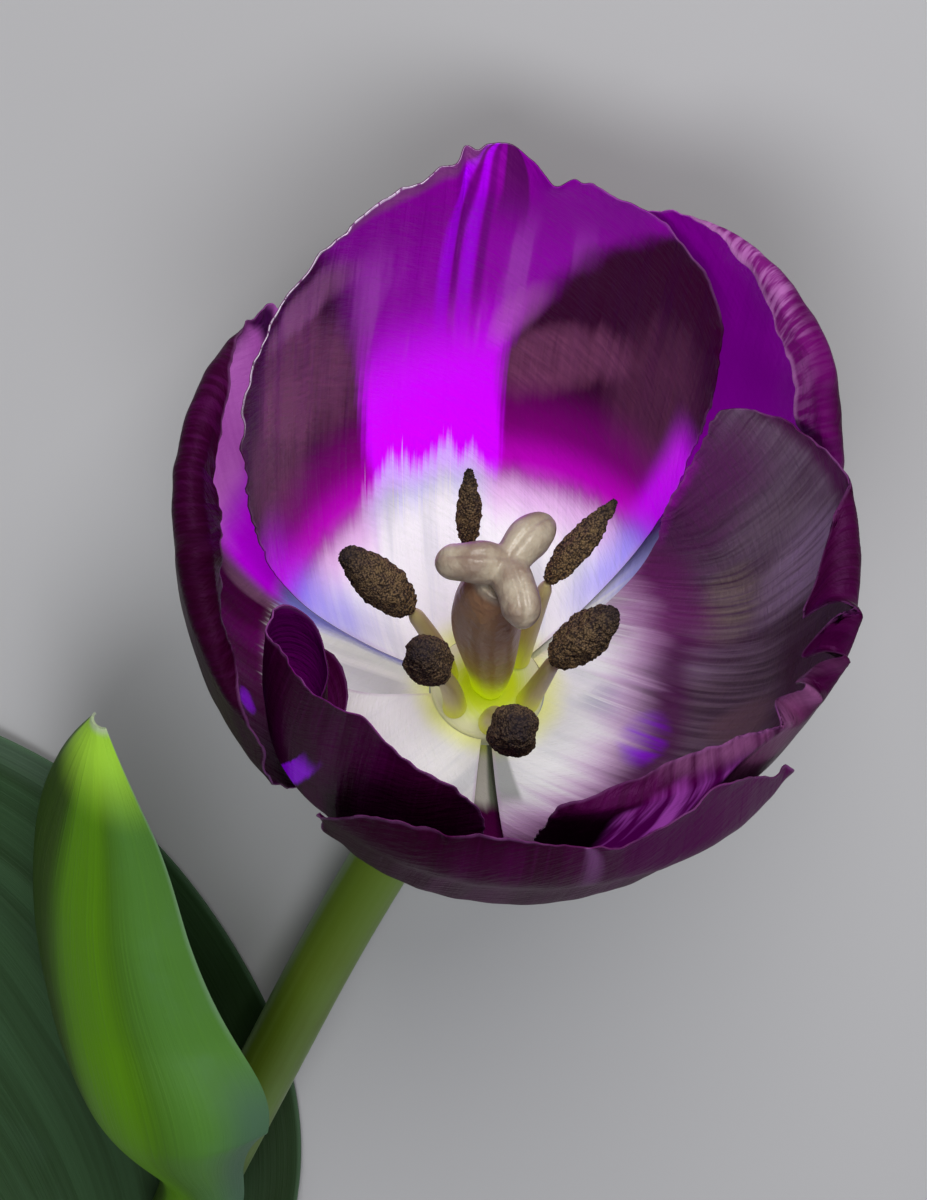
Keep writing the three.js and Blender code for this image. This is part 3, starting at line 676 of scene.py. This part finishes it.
def throat(p, white):
    """A petal's foot: yellow-green where it grows on, then white, with soft grey streaks of painted shade."""
    return layered(
        p.along.fray(p.streaks, 0.04).rise(-0.01, 0.055).lay((0.64, 0.65, 0.3), white),
        (p.streaks.rise(0.46, 0.62) * p.up(0.02, 0.07) * 0.5, (0.34, 0.36, 0.42)),
        (p.veins.rise(0.5, 0.7) * 0.16, (0.44, 0.46, 0.54)),
    )


def foot_glow(p, glow):
    """A glow, with the yellow light of the bloom's middle added where the petal grows on."""
    return p.up(0.055, 0).lay(glow, (0.24, 0.25, 0.08))


def throat_glow(p):
    """The faint light of a white throat with the sun behind it."""
    return foot_glow(p, p.up(0.22, 0.09).light((0.2, 0.2, 0.21)))


def plum_back(p):
    """A petal's back: plum, darkened by painted shade, with violet streaks that fan out from its greenish
    foot.
    """
    return layered(
        p.up(0.1, 0.4).lay((0.22, 0.2, 0.1), (0.03, 0, 0.018)),
        (p.streaks.rise(0.4, 0.7) * p.up(0.2, 0.5) * 0.7, (0.06, 0, 0.046)),
        (p.veins.rise(0.45, 0.75) * 0.3, (0.085, 0.002, 0.072)),
    )


NO_GLOW = (0, 0, 0)
BRIGHT_WHITE = (0.82, 0.82, 0.83)


def paint_inner_1(p):
    # where the sun comes through: a band up the middle that opens out to both shoulders, and one rim
    low = p.along.line(
        (0, -0.1), (0.3, -0.12), (0.5, -0.09), (0.65, -0.17), (0.75, -0.27), (0.85, -0.46),
        (0.93, -0.8), (1, -1.3),
    )
    high = p.along.line(
        (0, 0.44), (0.35, 0.41), (0.55, 0.38), (0.7, 0.41), (0.8, 0.46), (0.88, 0.56), (0.95, 0.8), (1, 1.2),
    )
    soft = 0.03 + p.up(0.45, 0.8) * 0.06
    across = p.across.fray(p.clouds, 0.06).fray(p.veins, 0.05).fray(p.broad, 0.05)
    lit = across.band(low - soft, low + soft, high - soft, high + soft)
    lit_rim = p.aside(-0.8, -0.93) * p.along.band(0.28, 0.34, 0.48, 0.62)
    # the two side panels, with the sun off them: maroon, with a brown-mauve sheen where they face the sky
    sheen = patch(p, -0.3, 0.53, 0.22, 0.11, -1.5) + patch(p, -0.75, 0.55, 0.25, 0.2) * 0.45 \
        + patch(p, 0.62, 0.66, 0.2, 0.22, 0.7) + patch(p, 0.8, 0.54, 0.2, 0.2) * 0.8
    dark = layered(
        p.up(0.5, 0.34).lay((0.042, 0, 0.026), (0.19, 0, 0.17)),
        (p.up(0.38, 0.28) * 0.8, (0.42, 0, 0.44)),
        (lit_rim, (0.55, 0, 0.85)),
        (sheen * (p.wrinkles * 0.8 + p.veins * 0.7) * p.up(0.34, 0.48), (0.25, 0.07, 0.165)),
    )
    # the lit band, with painted lilac highlights in streaks, fine pleats that catch painted highlights and
    # furrows in painted shade, up to its top
    pleats = p.across.away(0.07).rise(0.03, 0.006) + p.across.away(0.135).rise(0.03, 0.006)
    furrows = p.across.away(0.102).rise(0.018, 0.004) + p.across.away(0.035).rise(0.02, 0.004)
    bright = layered(
        p.up(0.46, 0.72).lay((0.58, 0, 1), (0.3, 0, 0.42)),
        (p.up(0.74, 0.92) * 0.75, (0.19, 0, 0.25)),
        (p.streaks.rise(0.5, 0.62) * p.along.band(0.5, 0.6, 0.75, 0.92) * 0.5, (0.44, 0.1, 0.55)),
        (pleats * p.up(0.5, 0.75) * 0.9, (0.42, 0, 0.95)),
        (furrows * p.up(0.5, 0.75) * 0.8, (0.1, 0, 0.13)),
    )
    # painted light and shade near the top: pink highlights beside the band and along the top margin, a dark
    # shaded notch in the crumpled tip, and a mauve highlight along the tip of one side
    rosy_light = patch(p, 0.66, 0.86, 0.2, 0.06, 1.5) + patch(p, -0.12, 0.63, 0.08, 0.09, -0.8) * 0.7
    shaded_wedge = (p.across + 0.06 + (p.along - 0.93) * 0.2).away(0).rise(0.07, 0.05)
    upper = layered(
        lit.lay(dark, bright),
        (rosy_light * 0.6, (0.44, 0.15, 0.4)),
        (shaded_wedge * p.up(0.8, 0.97), (0.05, 0.004, 0.04)),
        (p.aside(0.05, 0.2) * p.up(0.955, 0.98) * 0.8, (0.16, 0.06, 0.12)),
    )
    # the white throat: spiky below the lit band, soft and pink beside it, violet-blue at the margins
    middle = p.across.away(0.21).rise(0.36, 0.14)
    ragged = p.along.fray(p.veins, 0.02 + middle * 0.05).fray(p.broad, 0.03 + middle * 0.1)
    ragged = ragged - p.veins.rise(0.56, 0.72) * middle * 0.075
    edge = 0.262 + middle * 0.055
    fringe = middle.lay((0.74, 0.32, 0.8), (0.52, 0.5, 1))
    white = (ragged.rise(edge - 0.1, edge - 0.01) * 0.85).lay(throat(p, BRIGHT_WHITE), fringe)
    side = (p.across.away(0) - (p.along - 0.3) * 0.25).rise(0.74, 0.98) * p.along.band(0.06, 0.2, 0.34, 0.52)
    # painted sparkles of light along the margin that stands against the sky
    spark = p.inset.rise(0.4, 0.1) * p.up(0.72, 0.88) * p.aside(-0.12, 0.02) * p.veins.rise(0.35, 0.5)
    face = layered(
        ragged.rise(edge - 0.018, edge + 0.028).lay(white, upper),
        (side * (0.5 + 0.8 * p.broad), p.up(0.25, 0.34).lay((0.2, 0.12, 0.95), (0.46, 0, 0.78))),
        (spark, (0.86, 0.8, 0.9)),
    )
    outer_side = p.across.away(0).rise(0.8, 1) * p.along.band(0.1, 0.2, 0.3, 0.5)
    above_white = p.along.fray(p.broad, 0.06).rise(0.26, 0.31) * p.up(0.5, 0.34)
    glow = layered(
        (above_white * 0.6).light((0.08, 0, 0.07)),
        (above_white * p.up(0.37, 0.3), (0.2, 0, 0.22)),
        (
            lit * p.along.fray(p.veins, 0.1).rise(0.27, 0.36),
            p.up(0.46, 0.7).lay((0.26, 0, 0.38), (0.05, 0, 0.07)),
        ),
        (lit_rim, (0.26, 0, 0.42)),
        (outer_side * 0.8, p.up(0.25, 0.34).lay((0.06, 0.04, 0.34), (0.16, 0, 0.28))),
        (p.up(0.31, 0.2), (0.24, 0.24, 0.27)),
    )
    return face, plum_back(p), foot_glow(p, glow), NO_GLOW


def paint_inner_2(p):
    # grey and lilac silk, a painted sheen of the light it reflects, with painted beige highlights, plum
    # beside it, and maroon as painted shade where it turns from the light
    sheen = patch(p, 0.62, 0.42, 0.12, 0.12) * 0.8 + patch(p, 0.52, 0.6, 0.09, 0.11) * 0.5
    plum = p.across.fray(p.streaks, 0.35).fray(p.broad, 0.2).rise(0.7, 0.9)
    shade = p.across.fray(p.streaks, 0.16).fray(p.veins, 0.08)
    low = p.along.fray(p.streaks, 0.1)
    silk = layered(
        p.streaks.rise(0.36, 0.6).lay((0.08, 0.03, 0.078), (0.185, 0.115, 0.2)),
        (p.broad.rise(0.45, 0.65) * 0.4, (0.21, 0.14, 0.21)),
        (p.veins.rise(0.42, 0.64) * 0.5, (0.26, 0.19, 0.27)),
        (sheen * p.veins.rise(0.32, 0.62), (0.27, 0.21, 0.18)),
        (patch(p, 0.52, 0.68, 0.1, 0.2) * p.veins.rise(0.25, 0.6), (0.34, 0.23, 0.4)),
        (plum * p.up(0.95, 0.7) * 0.9, (0.14, 0.018, 0.14)),
        (p.aside(0.95, 1) * p.along.band(0.3, 0.4, 0.6, 0.75) * 0.8, (0.42, 0, 0.5)),
        (p.along.fray(p.broad, 0.05).rise(0.87, 0.92), (0.085, 0.006, 0.075)),
        # the side that turns away from the light
        (
            shade.rise(0.5, 0.36) * 0.9,
            p.veins.rise(0.35, 0.65).lay((0.045, 0.024, 0.04), (0.12, 0.075, 0.11)),
        ),
        (patch(p, 0.18, 0.42, 0.08, 0.1) * 0.8, (0.13, 0.07, 0.09)),
        (shade.rise(0.44, 0.32) * p.up(0.46, 0.58), (0.042, 0.002, 0.03)),
        # plum and dark streaks above the white throat
        (low.rise(0.4, 0.3) * p.aside(0.45, 0.7) * 0.8, (0.17, 0.02, 0.155)),
        (low.rise(0.3, 0.24) * p.aside(0.75, 0.5) * 0.8, (0.07, 0.01, 0.065)),
    )
    edge = (p.across * 0.5 + 0.5).line(
        (0, 0.2), (0.4, 0.165), (0.5, 0.16), (0.6, 0.155), (0.7, 0.16), (0.8, 0.175), (1, 0.21),
    )
    above = p.along.fray(p.veins, 0.06).fray(p.broad, 0.09).fray(p.streaks, 0.09) - edge
    white = layered(
        throat(p, (0.62, 0.62, 0.65)),
        # painted shade in the white: blue-grey streaks, a soft grey patch towards one margin and grey green
        # in the gap at the other
        (patch(p, 0.33, 0.16, 0.2, 0.09) * p.veins.rise(0.34, 0.56) * 0.9, (0.13, 0.15, 0.25)),
        (patch(p, 0.88, 0.16, 0.14, 0.05) * p.veins.rise(0.3, 0.55) * 0.8, (0.16, 0.12, 0.16)),
        (p.aside(-0.79, -0.84) * p.up(0.16, 0.12) * 0.9, (0.085, 0.095, 0.07)),
        (above.rise(-0.1, 0.01) * 0.85, (0.42, 0.2, 0.45)),
    )
    spot = patch(p, 0.1, 0.2, 0.17, 0.045) * p.broad.rise(0.3, 0.6) * (0.5 + p.veins * 0.8)
    face = spot.lay(above.rise(-0.035, 0.07).lay(white, silk), (0.22, 0, 0.62))
    # the back: brown mauve on the curl, with a painted highlight along its lip, and lilac, painted sunlit
    # streaks where it comes forward
    back = layered(
        plum_back(p),
        (p.aside(-0.52, -0.45) * p.aside(-0.1, -0.3) * 0.8, (0.14, 0.035, 0.105)),
        (p.up(0.94, 0.97) * p.aside(0.1, -0.1) * p.broad.rise(0.3, 0.62) * 0.8, (0.18, 0.055, 0.155)),
    )
    forward = p.across.fray(p.streaks, 0.06).rise(-0.82, -0.76) * p.aside(-0.5, -0.56)
    streaked = p.broad.rise(0.42, 0.62).lay((0.042, 0, 0.042), (0.22, 0.035, 0.26))
    back_glow = (forward * p.along.band(0.55, 0.65, 0.92, 0.97)).light(streaked)
    return face, back, throat_glow(p), back_glow


def paint_inner_3(p):
    face = p.along.fray(p.broad, 0.08).rise(0.28, 0.4).lay(throat(p, (0.74, 0.73, 0.74)), (0.12, 0, 0.12))
    # one spot near the foot of the back where the sun comes through
    beside = (p.across - (p.along - 0.66) * 0.9).fray(p.veins, 0.03)
    top = p.along.fray(p.broad, 0.1).rise(0.8, 0.7)
    window = beside.band(-0.16, -0.14, -0.04, 0) * p.up(0.54, 0.56) * top
    return face, window.lay(plum_back(p), (0.22, 0, 0.5)), throat_glow(p), window.light((0.05, 0, 0.18))


def grow_petal(node, petal, paint):
    across = np.sin(np.pi / 2 * np.linspace(-1, 1, 151) * 0.8) / np.sin(0.4 * np.pi)
    along = 0.995 * np.sin(np.pi / 2 * np.linspace(0, 1, 141))
    middle, marks = petal_sheet(petal, *np.meshgrid(across, along))
    thickness = PETAL_RIM_THICKNESS + (PETAL_THICKNESS - PETAL_RIM_THICKNESS) * rise(0, 7, marks["inset"])
    points, faces, marks = two_faced(middle, marks, thickness, 0.02)
    name = node.replace("tepal", "petal")
    silk = petal_finish(name + "_silk", petal["seed"], petal["gloss"], paint)
    return grow(name, points, faces, marks, silk)


for (node, petal), paint in zip(INNER_PETALS.items(), (paint_inner_1, paint_inner_2, paint_inner_3)):
    piece = grow_petal(node, petal, paint)
    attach(piece, "root")
    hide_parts(node)

# The three outer petals: they stand behind the gaps of the inner ones and wrap them, dark plum on the
# back. Their margins have curled over in the warmth, and show that back as a paler, crimped lip.
OUTER_PETALS = {
    "tepal_outer_1": dict(
        bearing=45, spread=[30, 55], shoulder=[0.51, 0.5], round=[[2.1, 1.9], [2.1, 2.0]],
        lean=[1.6, 1.6],
        midline=[[6.2, -0.8], [14, 1], [24, 6], [30, 15], [33.1, 27], [32.8, 40], [32.2, 58]],
        rolls=[(-25, 58, 7.3, 1.3, 2.75)],
        ripples=[(-35, 110, 8, 5, 0.5, 0)],
        seed=4, gloss=0.07,
    ),
    "tepal_outer_2": dict(
        bearing=183, spread=[46.5, 48], shoulder=[0.5, 0.5], round=[[1.7, 2.1], [2.2, 2.1]],
        lean=[-0.6, -1.2],
        midline=[[6.2, -0.8], [14, 1], [24, 6], [31, 15], [33.9, 26], [35.2, 36], [36, 47]],
        rolls=[(15, 50, 7.0, 1.6, 2.7)],
        ripples=[(35, 110, 8, 5, 0.6, 0)],
        horns=[(-35, 6, 0.7, 9, 1.0)],
        seed=5, gloss=0.07,
    ),
    "tepal_outer_3": dict(
        bearing=-71, spread=[45, 42], shoulder=[0.62, 0.82], round=[[2.3, 2.2], [2.6, 2.4]],
        lean=[-1, -0.6],
        midline=[[6.2, -0.8], [14, 1], [24, 5.5], [30.5, 14], [33.6, 25], [36.4, 33], [36, 42]],
        ripples=[(0, 115, 8, 3, 0.8, 0.5)],
        horns=[(22, 16, 0.6, 5.5, 0), (8, 5, 0.8, -1.8, -0.8), (-34, 12, 0.5, 3, 0)],
        seed=6, gloss=0.07,
    ),
}


def curl_stripes(p):
    return p.dye.grain(p.swing * 0.8, p.inset * 0.2, 2)


def paint_outer_1(p):
    ragged = p.along.fray(p.veins, 0.1).fray(p.broad, 0.08)
    deep = layered(
        p.aside(0.2, 0.7).lay((0.13, 0, 0.18), (0.23, 0, 0.31)),
        (p.streaks.rise(0.4, 0.65) * 0.5, (0.22, 0, 0.29)),
        (p.aside(0.1, -0.15) * 0.7, (0.07, 0, 0.06)),
        (p.up(0.5, 0.36), (0.5, 0, 0.8)),
    )
    white = ragged.rise(0.1, 0.22).lay(throat(p, BRIGHT_WHITE), (0.42, 0.42, 0.95))
    # the back turns lilac where the margin is curled over, with stripes across the curl
    lip = layered(
        curl_stripes(p).rise(0.42, 0.62).lay((0.17, 0.008, 0.16), (0.38, 0.12, 0.38)),
        (p.inset.rise(2.2, 4.2) * 0.85, (0.07, 0, 0.06)),
        (p.aside(0, -0.5) * 0.6, (0.15, 0.002, 0.14)),
        (p.inset.rise(0.9, 0.2) * 0.7, (0.42, 0.16, 0.42)),
    )
    back = p.inset.rise(7, 4.5).lay(plum_back(p), lip)
    glow = p.along.band(0.28, 0.32, 0.4, 1.3).light((0.12, 0, 0.17))
    return ragged.rise(0.25, 0.31).lay(white, deep), back, glow, NO_GLOW


def paint_outer_2(p):
    # a lit ribbon that leans to the margin, with a dark vein up it, and maroon in the shade beside it
    off_vein = (p.across + 0.26 + (p.along - 0.3) * 1.3).away(0)
    ribbon = layered(
        p.streaks.rise(0.4, 0.6).lay((0.36, 0.08, 0.38), (0.5, 0.22, 0.52)),
        (p.along.fray(p.broad, 0.1).rise(0.55, 0.42), (0.52, 0, 0.86)),
        (off_vein.rise(0.07, 0.02) * p.up(0.42, 0.55) * 0.85, (0.12, 0, 0.17)),
        (p.along.fray(p.broad, 0.1).rise(0.82, 0.92), (0.1, 0, 0.085)),
    )
    shade = layered(
        p.streaks.rise(0.45, 0.65).lay((0.055, 0, 0.036), (0.105, 0, 0.09)),
        (patch(p, -0.12, 0.4, 0.06, 0.1) * 0.7, (0.26, 0.12, 0.22)),
        # painted light: a small violet spot where the sun comes through
        (patch(p, 0.5, 0.385, 0.07, 0.02), (0.26, 0, 0.7)),
    )
    upper = p.across.fray(p.streaks, 0.08).rise(-0.2, -0.12).lay(ribbon, shade)
    ragged = p.along.fray(p.veins, 0.1).fray(p.broad, 0.08)
    blue = ragged.rise(0.13, 0.26) * p.aside(-0.08, -0.16)
    face = ragged.rise(0.27, 0.32).lay(blue.lay(throat(p, BRIGHT_WHITE), (0.26, 0.22, 0.95)), upper)
    # the back's curled margin is only a little paler, with violet stripes across the curl; painted shade
    # darkens the back towards one side
    crest = p.inset.band(2.4, 3.4, 4.2, 5.4) * p.swing.rise(-20, -60)
    back = layered(
        curl_stripes(p).rise(0.42, 0.66).lay((0.03, 0, 0.018), (0.055, 0.002, 0.044)),
        (p.swing.rise(-25, 35) * 0.75, (0.015, 0, 0.006)),
        (crest * 0.7, (0.16, 0.03, 0.16)),
    )
    sunny = p.aside(-0.1, -0.2)
    rosy_light = sunny * p.along.band(0.42, 0.55, 0.82, 0.92) * off_vein.rise(0.02, 0.08)
    glow = layered(
        (rosy_light * (0.4 + 0.6 * p.streaks)).light((0.34, 0.07, 0.37)),
        (p.along.band(0.28, 0.33, 0.45, 0.58) * sunny, (0.24, 0, 0.36)),
        (p.up(0.34, 0.26), sunny.lay((0.1, 0.1, 0.09), (0.1, 0.1, 0.28))),
    )
    return face, back, foot_glow(p, glow), NO_GLOW


def paint_outer_3(p):
    # cream at the foot, grey green where the gap shades it, plum above
    face = layered(
        p.up(0, 0.04).lay((0.42, 0.46, 0.1), (0.52, 0.5, 0.46)),
        (p.across.fray(p.streaks, 0.06).rise(-0.19, -0.13), (0.13, 0.15, 0.11)),
        (p.along.fray(p.broad, 0.04).rise(0.12, 0.16), (0.055, 0, 0.038)),
    )
    # the back is plum, with painted light brightening one side of the crease up its middle, a painted lilac
    # highlight along that crease, and painted shade darkening the far side
    crease = p.across.fray(p.veins, 0.04).away(0.07).rise(0.06, 0.005) * p.up(0.72, 0.95)
    bright = p.across.fray(p.streaks, 0.3).rise(-0.05, 0.4)
    back = layered(
        plum_back(p),
        (bright * p.up(0.55, 0.85) * 0.8, (0.075, 0.002, 0.066)),
        (crease * (0.1 + p.veins * 0.8), (0.25, 0.09, 0.28)),
        (p.aside(-0.3, -0.8) * 0.7, (0.016, 0, 0.007)),
    )
    return face, back, NO_GLOW, NO_GLOW


for (node, petal), paint in zip(OUTER_PETALS.items(), (paint_outer_1, paint_outer_2, paint_outer_3)):
    piece = grow_petal(node, petal, paint)
    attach(piece, "root")
    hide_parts(node)

# The two leaves: thick, waxy blades with close lengthwise veins that clasp the stem at their foot.
# The upper one is folded lengthwise and stands up over the stem, the lower one lies on the table.
LEAF_THICKNESS = 0.8
LEAF_RIM_THICKNESS = 0.3
SHEATH = STEM_RADIUS + 0.8
SHEATH_SIDE = unit(np.array([0.25, 0.86, 0.42]))


def on_sheath(run, side, looseness=0.0):
    return stem_centre(run) + side * (SHEATH + looseness)


def from_base(*places):
    """Places from their x and y past the bloom's base and their height over the table."""
    return [BLOOM_BASE * [1, 1, 0] + place for place in places]


LEAVES = {
    "leaf_upper": dict(
        midrib=[
            on_sheath(104, SHEATH_SIDE), on_sheath(93, SHEATH_SIDE, 1.8), *from_base(
                (-74, 34.8, 14.4), (-58, 40.6, 15.9), (-41, 42.8, 19.5), (-25, 42.2, 23.5), (-10.4, 40.4, 27),
            ),
        ],
        facing=[
            SHEATH_SIDE, SHEATH_SIDE, [-0.1, 0.85, 0.4], [-0.25, 0.8, 0.5],
            [-0.4, 0.75, 0.5], [-0.4, 0.7, 0.5], [-0.3, 0.7, 0.5],
        ],
        width=[12.6, 20, 38, 38.2, 33, 20.5, 3],
        fold_up=[100, 105, 92, 84, 78, 80, 80],
        fold_down=[60, 62, 31, 41, 54, 58, 70],
        wave=0,
        lowest=1.3,
    ),
    "leaf_lower": dict(
        midrib=[
            on_sheath(144, -SKY), on_sheath(133, -SKY), on_sheath(119, -SKY, 0.6), *from_base(
                (-96, 29.6, 0.35), (-78, 39.6, 0.35), (-61, 54.8, 0.35), (-51, 77, 0.6), (-50, 102, 3),
            ),
        ],
        facing=[-SKY] * 8,
        width=[15.2, 17, 30, 45, 52, 50, 38, 3],
        fold_up=[100, 95, 30, 4, 3, 6, 12, 18],
        fold_down=[100, 95, 30, 4, 3, 6, 12, 18],
        wave=1,
        lowest=0,
    ),
}


def leaf_sheet(leaf, across, along):
    middle = through(leaf["midrib"], along)
    ahead = unit(through(leaf["midrib"], along + 0.001) - through(leaf["midrib"], along - 0.001))
    back = through(leaf["facing"], along)
    back = unit(back - (back * ahead).sum(-1, keepdims=True) * ahead)
    sideways = np.cross(ahead, back)
    width, up, down = (through(leaf[name], along)[..., 0] for name in ("width", "fold_up", "fold_down"))
    radius = width / np.radians(up + down)
    angle = across * np.radians(np.where(across > 0, up, down))
    wave = leaf["wave"] * np.abs(across) ** 3 * np.sin(along * 17 + across) * rise(0.55, 0.75, along)
    middle = middle - back * (radius * (1 - np.cos(angle)) + wave)[..., None]
    return middle + sideways * (radius * np.sin(angle))[..., None]


def leaf_finish(name, seed, paint):
    material, dye = finish(name)
    p = SimpleNamespace(across=dye.mark("across"), along=dye.mark("along"))
    p.up, p.aside = p.along.rise, p.across.rise
    p.veins = dye.grain(p.across * 70, p.along * 2, seed * 9, 4)
    p.stripes = dye.grain(p.across * 9, p.along * 1.2, seed * 4)
    p.clouds = dye.grain(p.across * 3, p.along * 9, seed * 6, 4)
    colour = paint(p)
    relief = dye.bump(p.veins, 0.00025, 0.5, dye.bump(p.stripes, 0.0006, 0.4))
    skin(
        dye, Base_Color=colour, Roughness=0.4 + 0.22 * p.clouds, Normal=relief, Specular_IOR_Level=0.16,
        Subsurface_Weight=0.05, Subsurface_Radius=(0.001, 0.0016, 0.0006),
    )
    return material


def upper_leaf_green(p):
    """A painted lit ridge on the near side of the fold, a valley darkened by painted shade, then the broad
    side's grey bloom, and painted light coming through near the tip.
    """
    ridge = p.across.fray(p.stripes, 0.12)
    return layered(
        p.aside(0.45, 0.75).lay((0.055, 0.15, 0.001), (0.08, 0.22, 0.03)),
        (ridge.band(0.08, 0.22, 0.4, 0.58) * 0.85, (0.1, 0.27, 0.002)),
        (p.veins.rise(0.5, 0.7) * 0.18, (0.11, 0.3, 0.02)),
        (ridge.rise(0.14, 0) * p.up(1, 0.85) * 0.9, (0.03, 0.07, 0.002)),
        (p.clouds.rise(0.45, 0.75) * p.aside(0.5, 0.8) * 0.35, (0.1, 0.24, 0.09)),
        (p.up(0.84, 0.96) * ridge.rise(-0.7, -0.5) * 0.85, (0.5, 0.92, 0.06)),
        (p.aside(0.72, 0.95) * p.up(0.5, 0.36) * 0.9, (0.065, 0.14, 0.085)),
        (p.aside(0.3, 0.9) * p.up(0.3, 0.08) * 0.8, (0.07, 0.15, 0.09)),
        (p.aside(0.965, 0.998) * p.up(0.4, 0.6) * 0.6, (0.2, 0.34, 0.2)),
        (p.up(0.975, 0.998) * 0.8, (0.6, 0.68, 0.5)),
    )


def lower_leaf_green(p):
    return layered(
        p.stripes.rise(0.35, 0.65).lay((0.02, 0.05, 0.016), (0.032, 0.078, 0.03)),
        (p.veins.rise(0.5, 0.75) * 0.3, (0.04, 0.1, 0.038)),
        (p.clouds.rise(0.5, 0.8) * 0.4, (0.036, 0.08, 0.04)),
        # painted shade: darker on one side towards the foot, where the leaf lies in shadow by the stem
        (p.aside(-0.4, -0.8) * p.up(0.7, 0.5) * 0.6, (0.012, 0.026, 0.006)),
        (p.aside(-0.78, -0.92) * p.up(0.66, 0.76) * 0.6, (0.085, 0.14, 0.095)),
        (p.across.away(0).rise(0.97, 1) * 0.6, (0.09, 0.17, 0.095)),
    )


LEAF_LOOKS = {"leaf_upper": (upper_leaf_green, "leaf_bright"), "leaf_lower": (lower_leaf_green, "leaf_dark")}
for seed, (node, leaf) in enumerate(LEAVES.items(), 1):
    across, along = np.meshgrid(np.linspace(-1, 1, 71), np.linspace(0, 1, 201))
    middle = leaf_sheet(leaf, across, along)
    thickness = LEAF_RIM_THICKNESS + (LEAF_THICKNESS - LEAF_RIM_THICKNESS) \
        * rise(1.0, 0.7, np.abs(across)) * rise(1.0, 0.9, along)
    points, faces, marks = two_faced(middle, {"across": across, "along": along}, thickness, leaf["lowest"])
    paint, slot = LEAF_LOOKS[node]
    blade = grow(node + "_blade", points, faces, marks, leaf_finish(node + "_wax", seed, paint))
    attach(blade, "root")
    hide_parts(node)

# The studio: a plain pale floor, and soft light from large lamps that hang over the bloom's open side,
# over the stem and low on the left. None of them is part of the flower.
pale_paper, dye = finish("pale_paper")
skin(dye, Base_Color=(0.5, 0.5, 0.52), Roughness=0.9)
floor = grow(
    "floor", [(-4000, -4000, -0.05), (4000, -4000, -0.05), (4000, 4000, -0.05), (-4000, 4000, -0.05)],
    [(0, 1, 2, 3)], {}, pale_paper,
)


def stand(name, data, x, y, z, place):
    """Puts a lamp or camera in its place, in metres, with its own three axes."""
    holder = bpy.data.objects.new(name, data)
    holder.matrix_world = Matrix(np.vstack([np.column_stack([x, y, z, place]), [0, 0, 0, 1]]).tolist())
    bpy.context.collection.objects.link(holder)
    return holder


def lamp(name, place, size, power, colour=(1, 1, 1)):
    light = bpy.data.lights.new(name, "AREA")
    light.shape = "DISK"
    light.size = size
    light.energy = power
    light.color = colour
    z = unit(np.array(place) - (0.105, -0.033, 0.035))
    x = unit(np.cross(SKY, z))
    stand(name, light, x, np.cross(z, x), z, place)


lamp("key", (0.95, -0.1, 0.55), 0.6, 8.0, (1.0, 0.98, 0.95))
lamp("top", (0.05, -0.1, 1.3), 1.0, 6.0)
lamp("side", (-0.5, -0.9, 0.6), 0.8, 1.2, (0.92, 0.95, 1.0))

scene = bpy.context.scene
scene.world = bpy.data.worlds.new("studio_air")
scene.world.use_nodes = True
air = scene.world.node_tree.nodes["Background"].inputs
air["Color"].default_value = (0.92, 0.95, 1.0, 1)
air["Strength"].default_value = 0.18
scene.view_settings.view_transform = "Standard"
scene.view_settings.look = "None"

# The camera looks down into the open bloom from half a metre away, turned so that the stem leaves the
# picture at its lower left corner. The bloom's base lies right of the picture's middle and below it,
# by the pixels given.
CAMERA_ELEVATION = np.radians(55)
CAMERA_ROLL = np.radians(13)
CAMERA_DISTANCE = 500
FOCAL_PIXELS = 4650
PICTURE_HEIGHT = 1200
BLOOM_OFF_MIDDLE = (23.5, 90)
towards_camera = turned(AHEAD, SKY, CAMERA_ELEVATION)
level_up = turned(-SKY, AHEAD, CAMERA_ELEVATION)
image_right = turned(RIGHT, level_up, CAMERA_ROLL)
image_up = turned(level_up, -RIGHT, CAMERA_ROLL)
millimetres_per_pixel = CAMERA_DISTANCE / FOCAL_PIXELS
place = BLOOM_BASE + CAMERA_DISTANCE * towards_camera \
    - BLOOM_OFF_MIDDLE[0] * millimetres_per_pixel * image_right \
    + BLOOM_OFF_MIDDLE[1] * millimetres_per_pixel * image_up
lens = bpy.data.cameras.new("camera")
lens.sensor_width = 36
lens.lens = FOCAL_PIXELS / PICTURE_HEIGHT * lens.sensor_width
lens.clip_start = 0.01
scene.camera = stand("camera", lens, image_right, image_up, towards_camera, place / 1000)
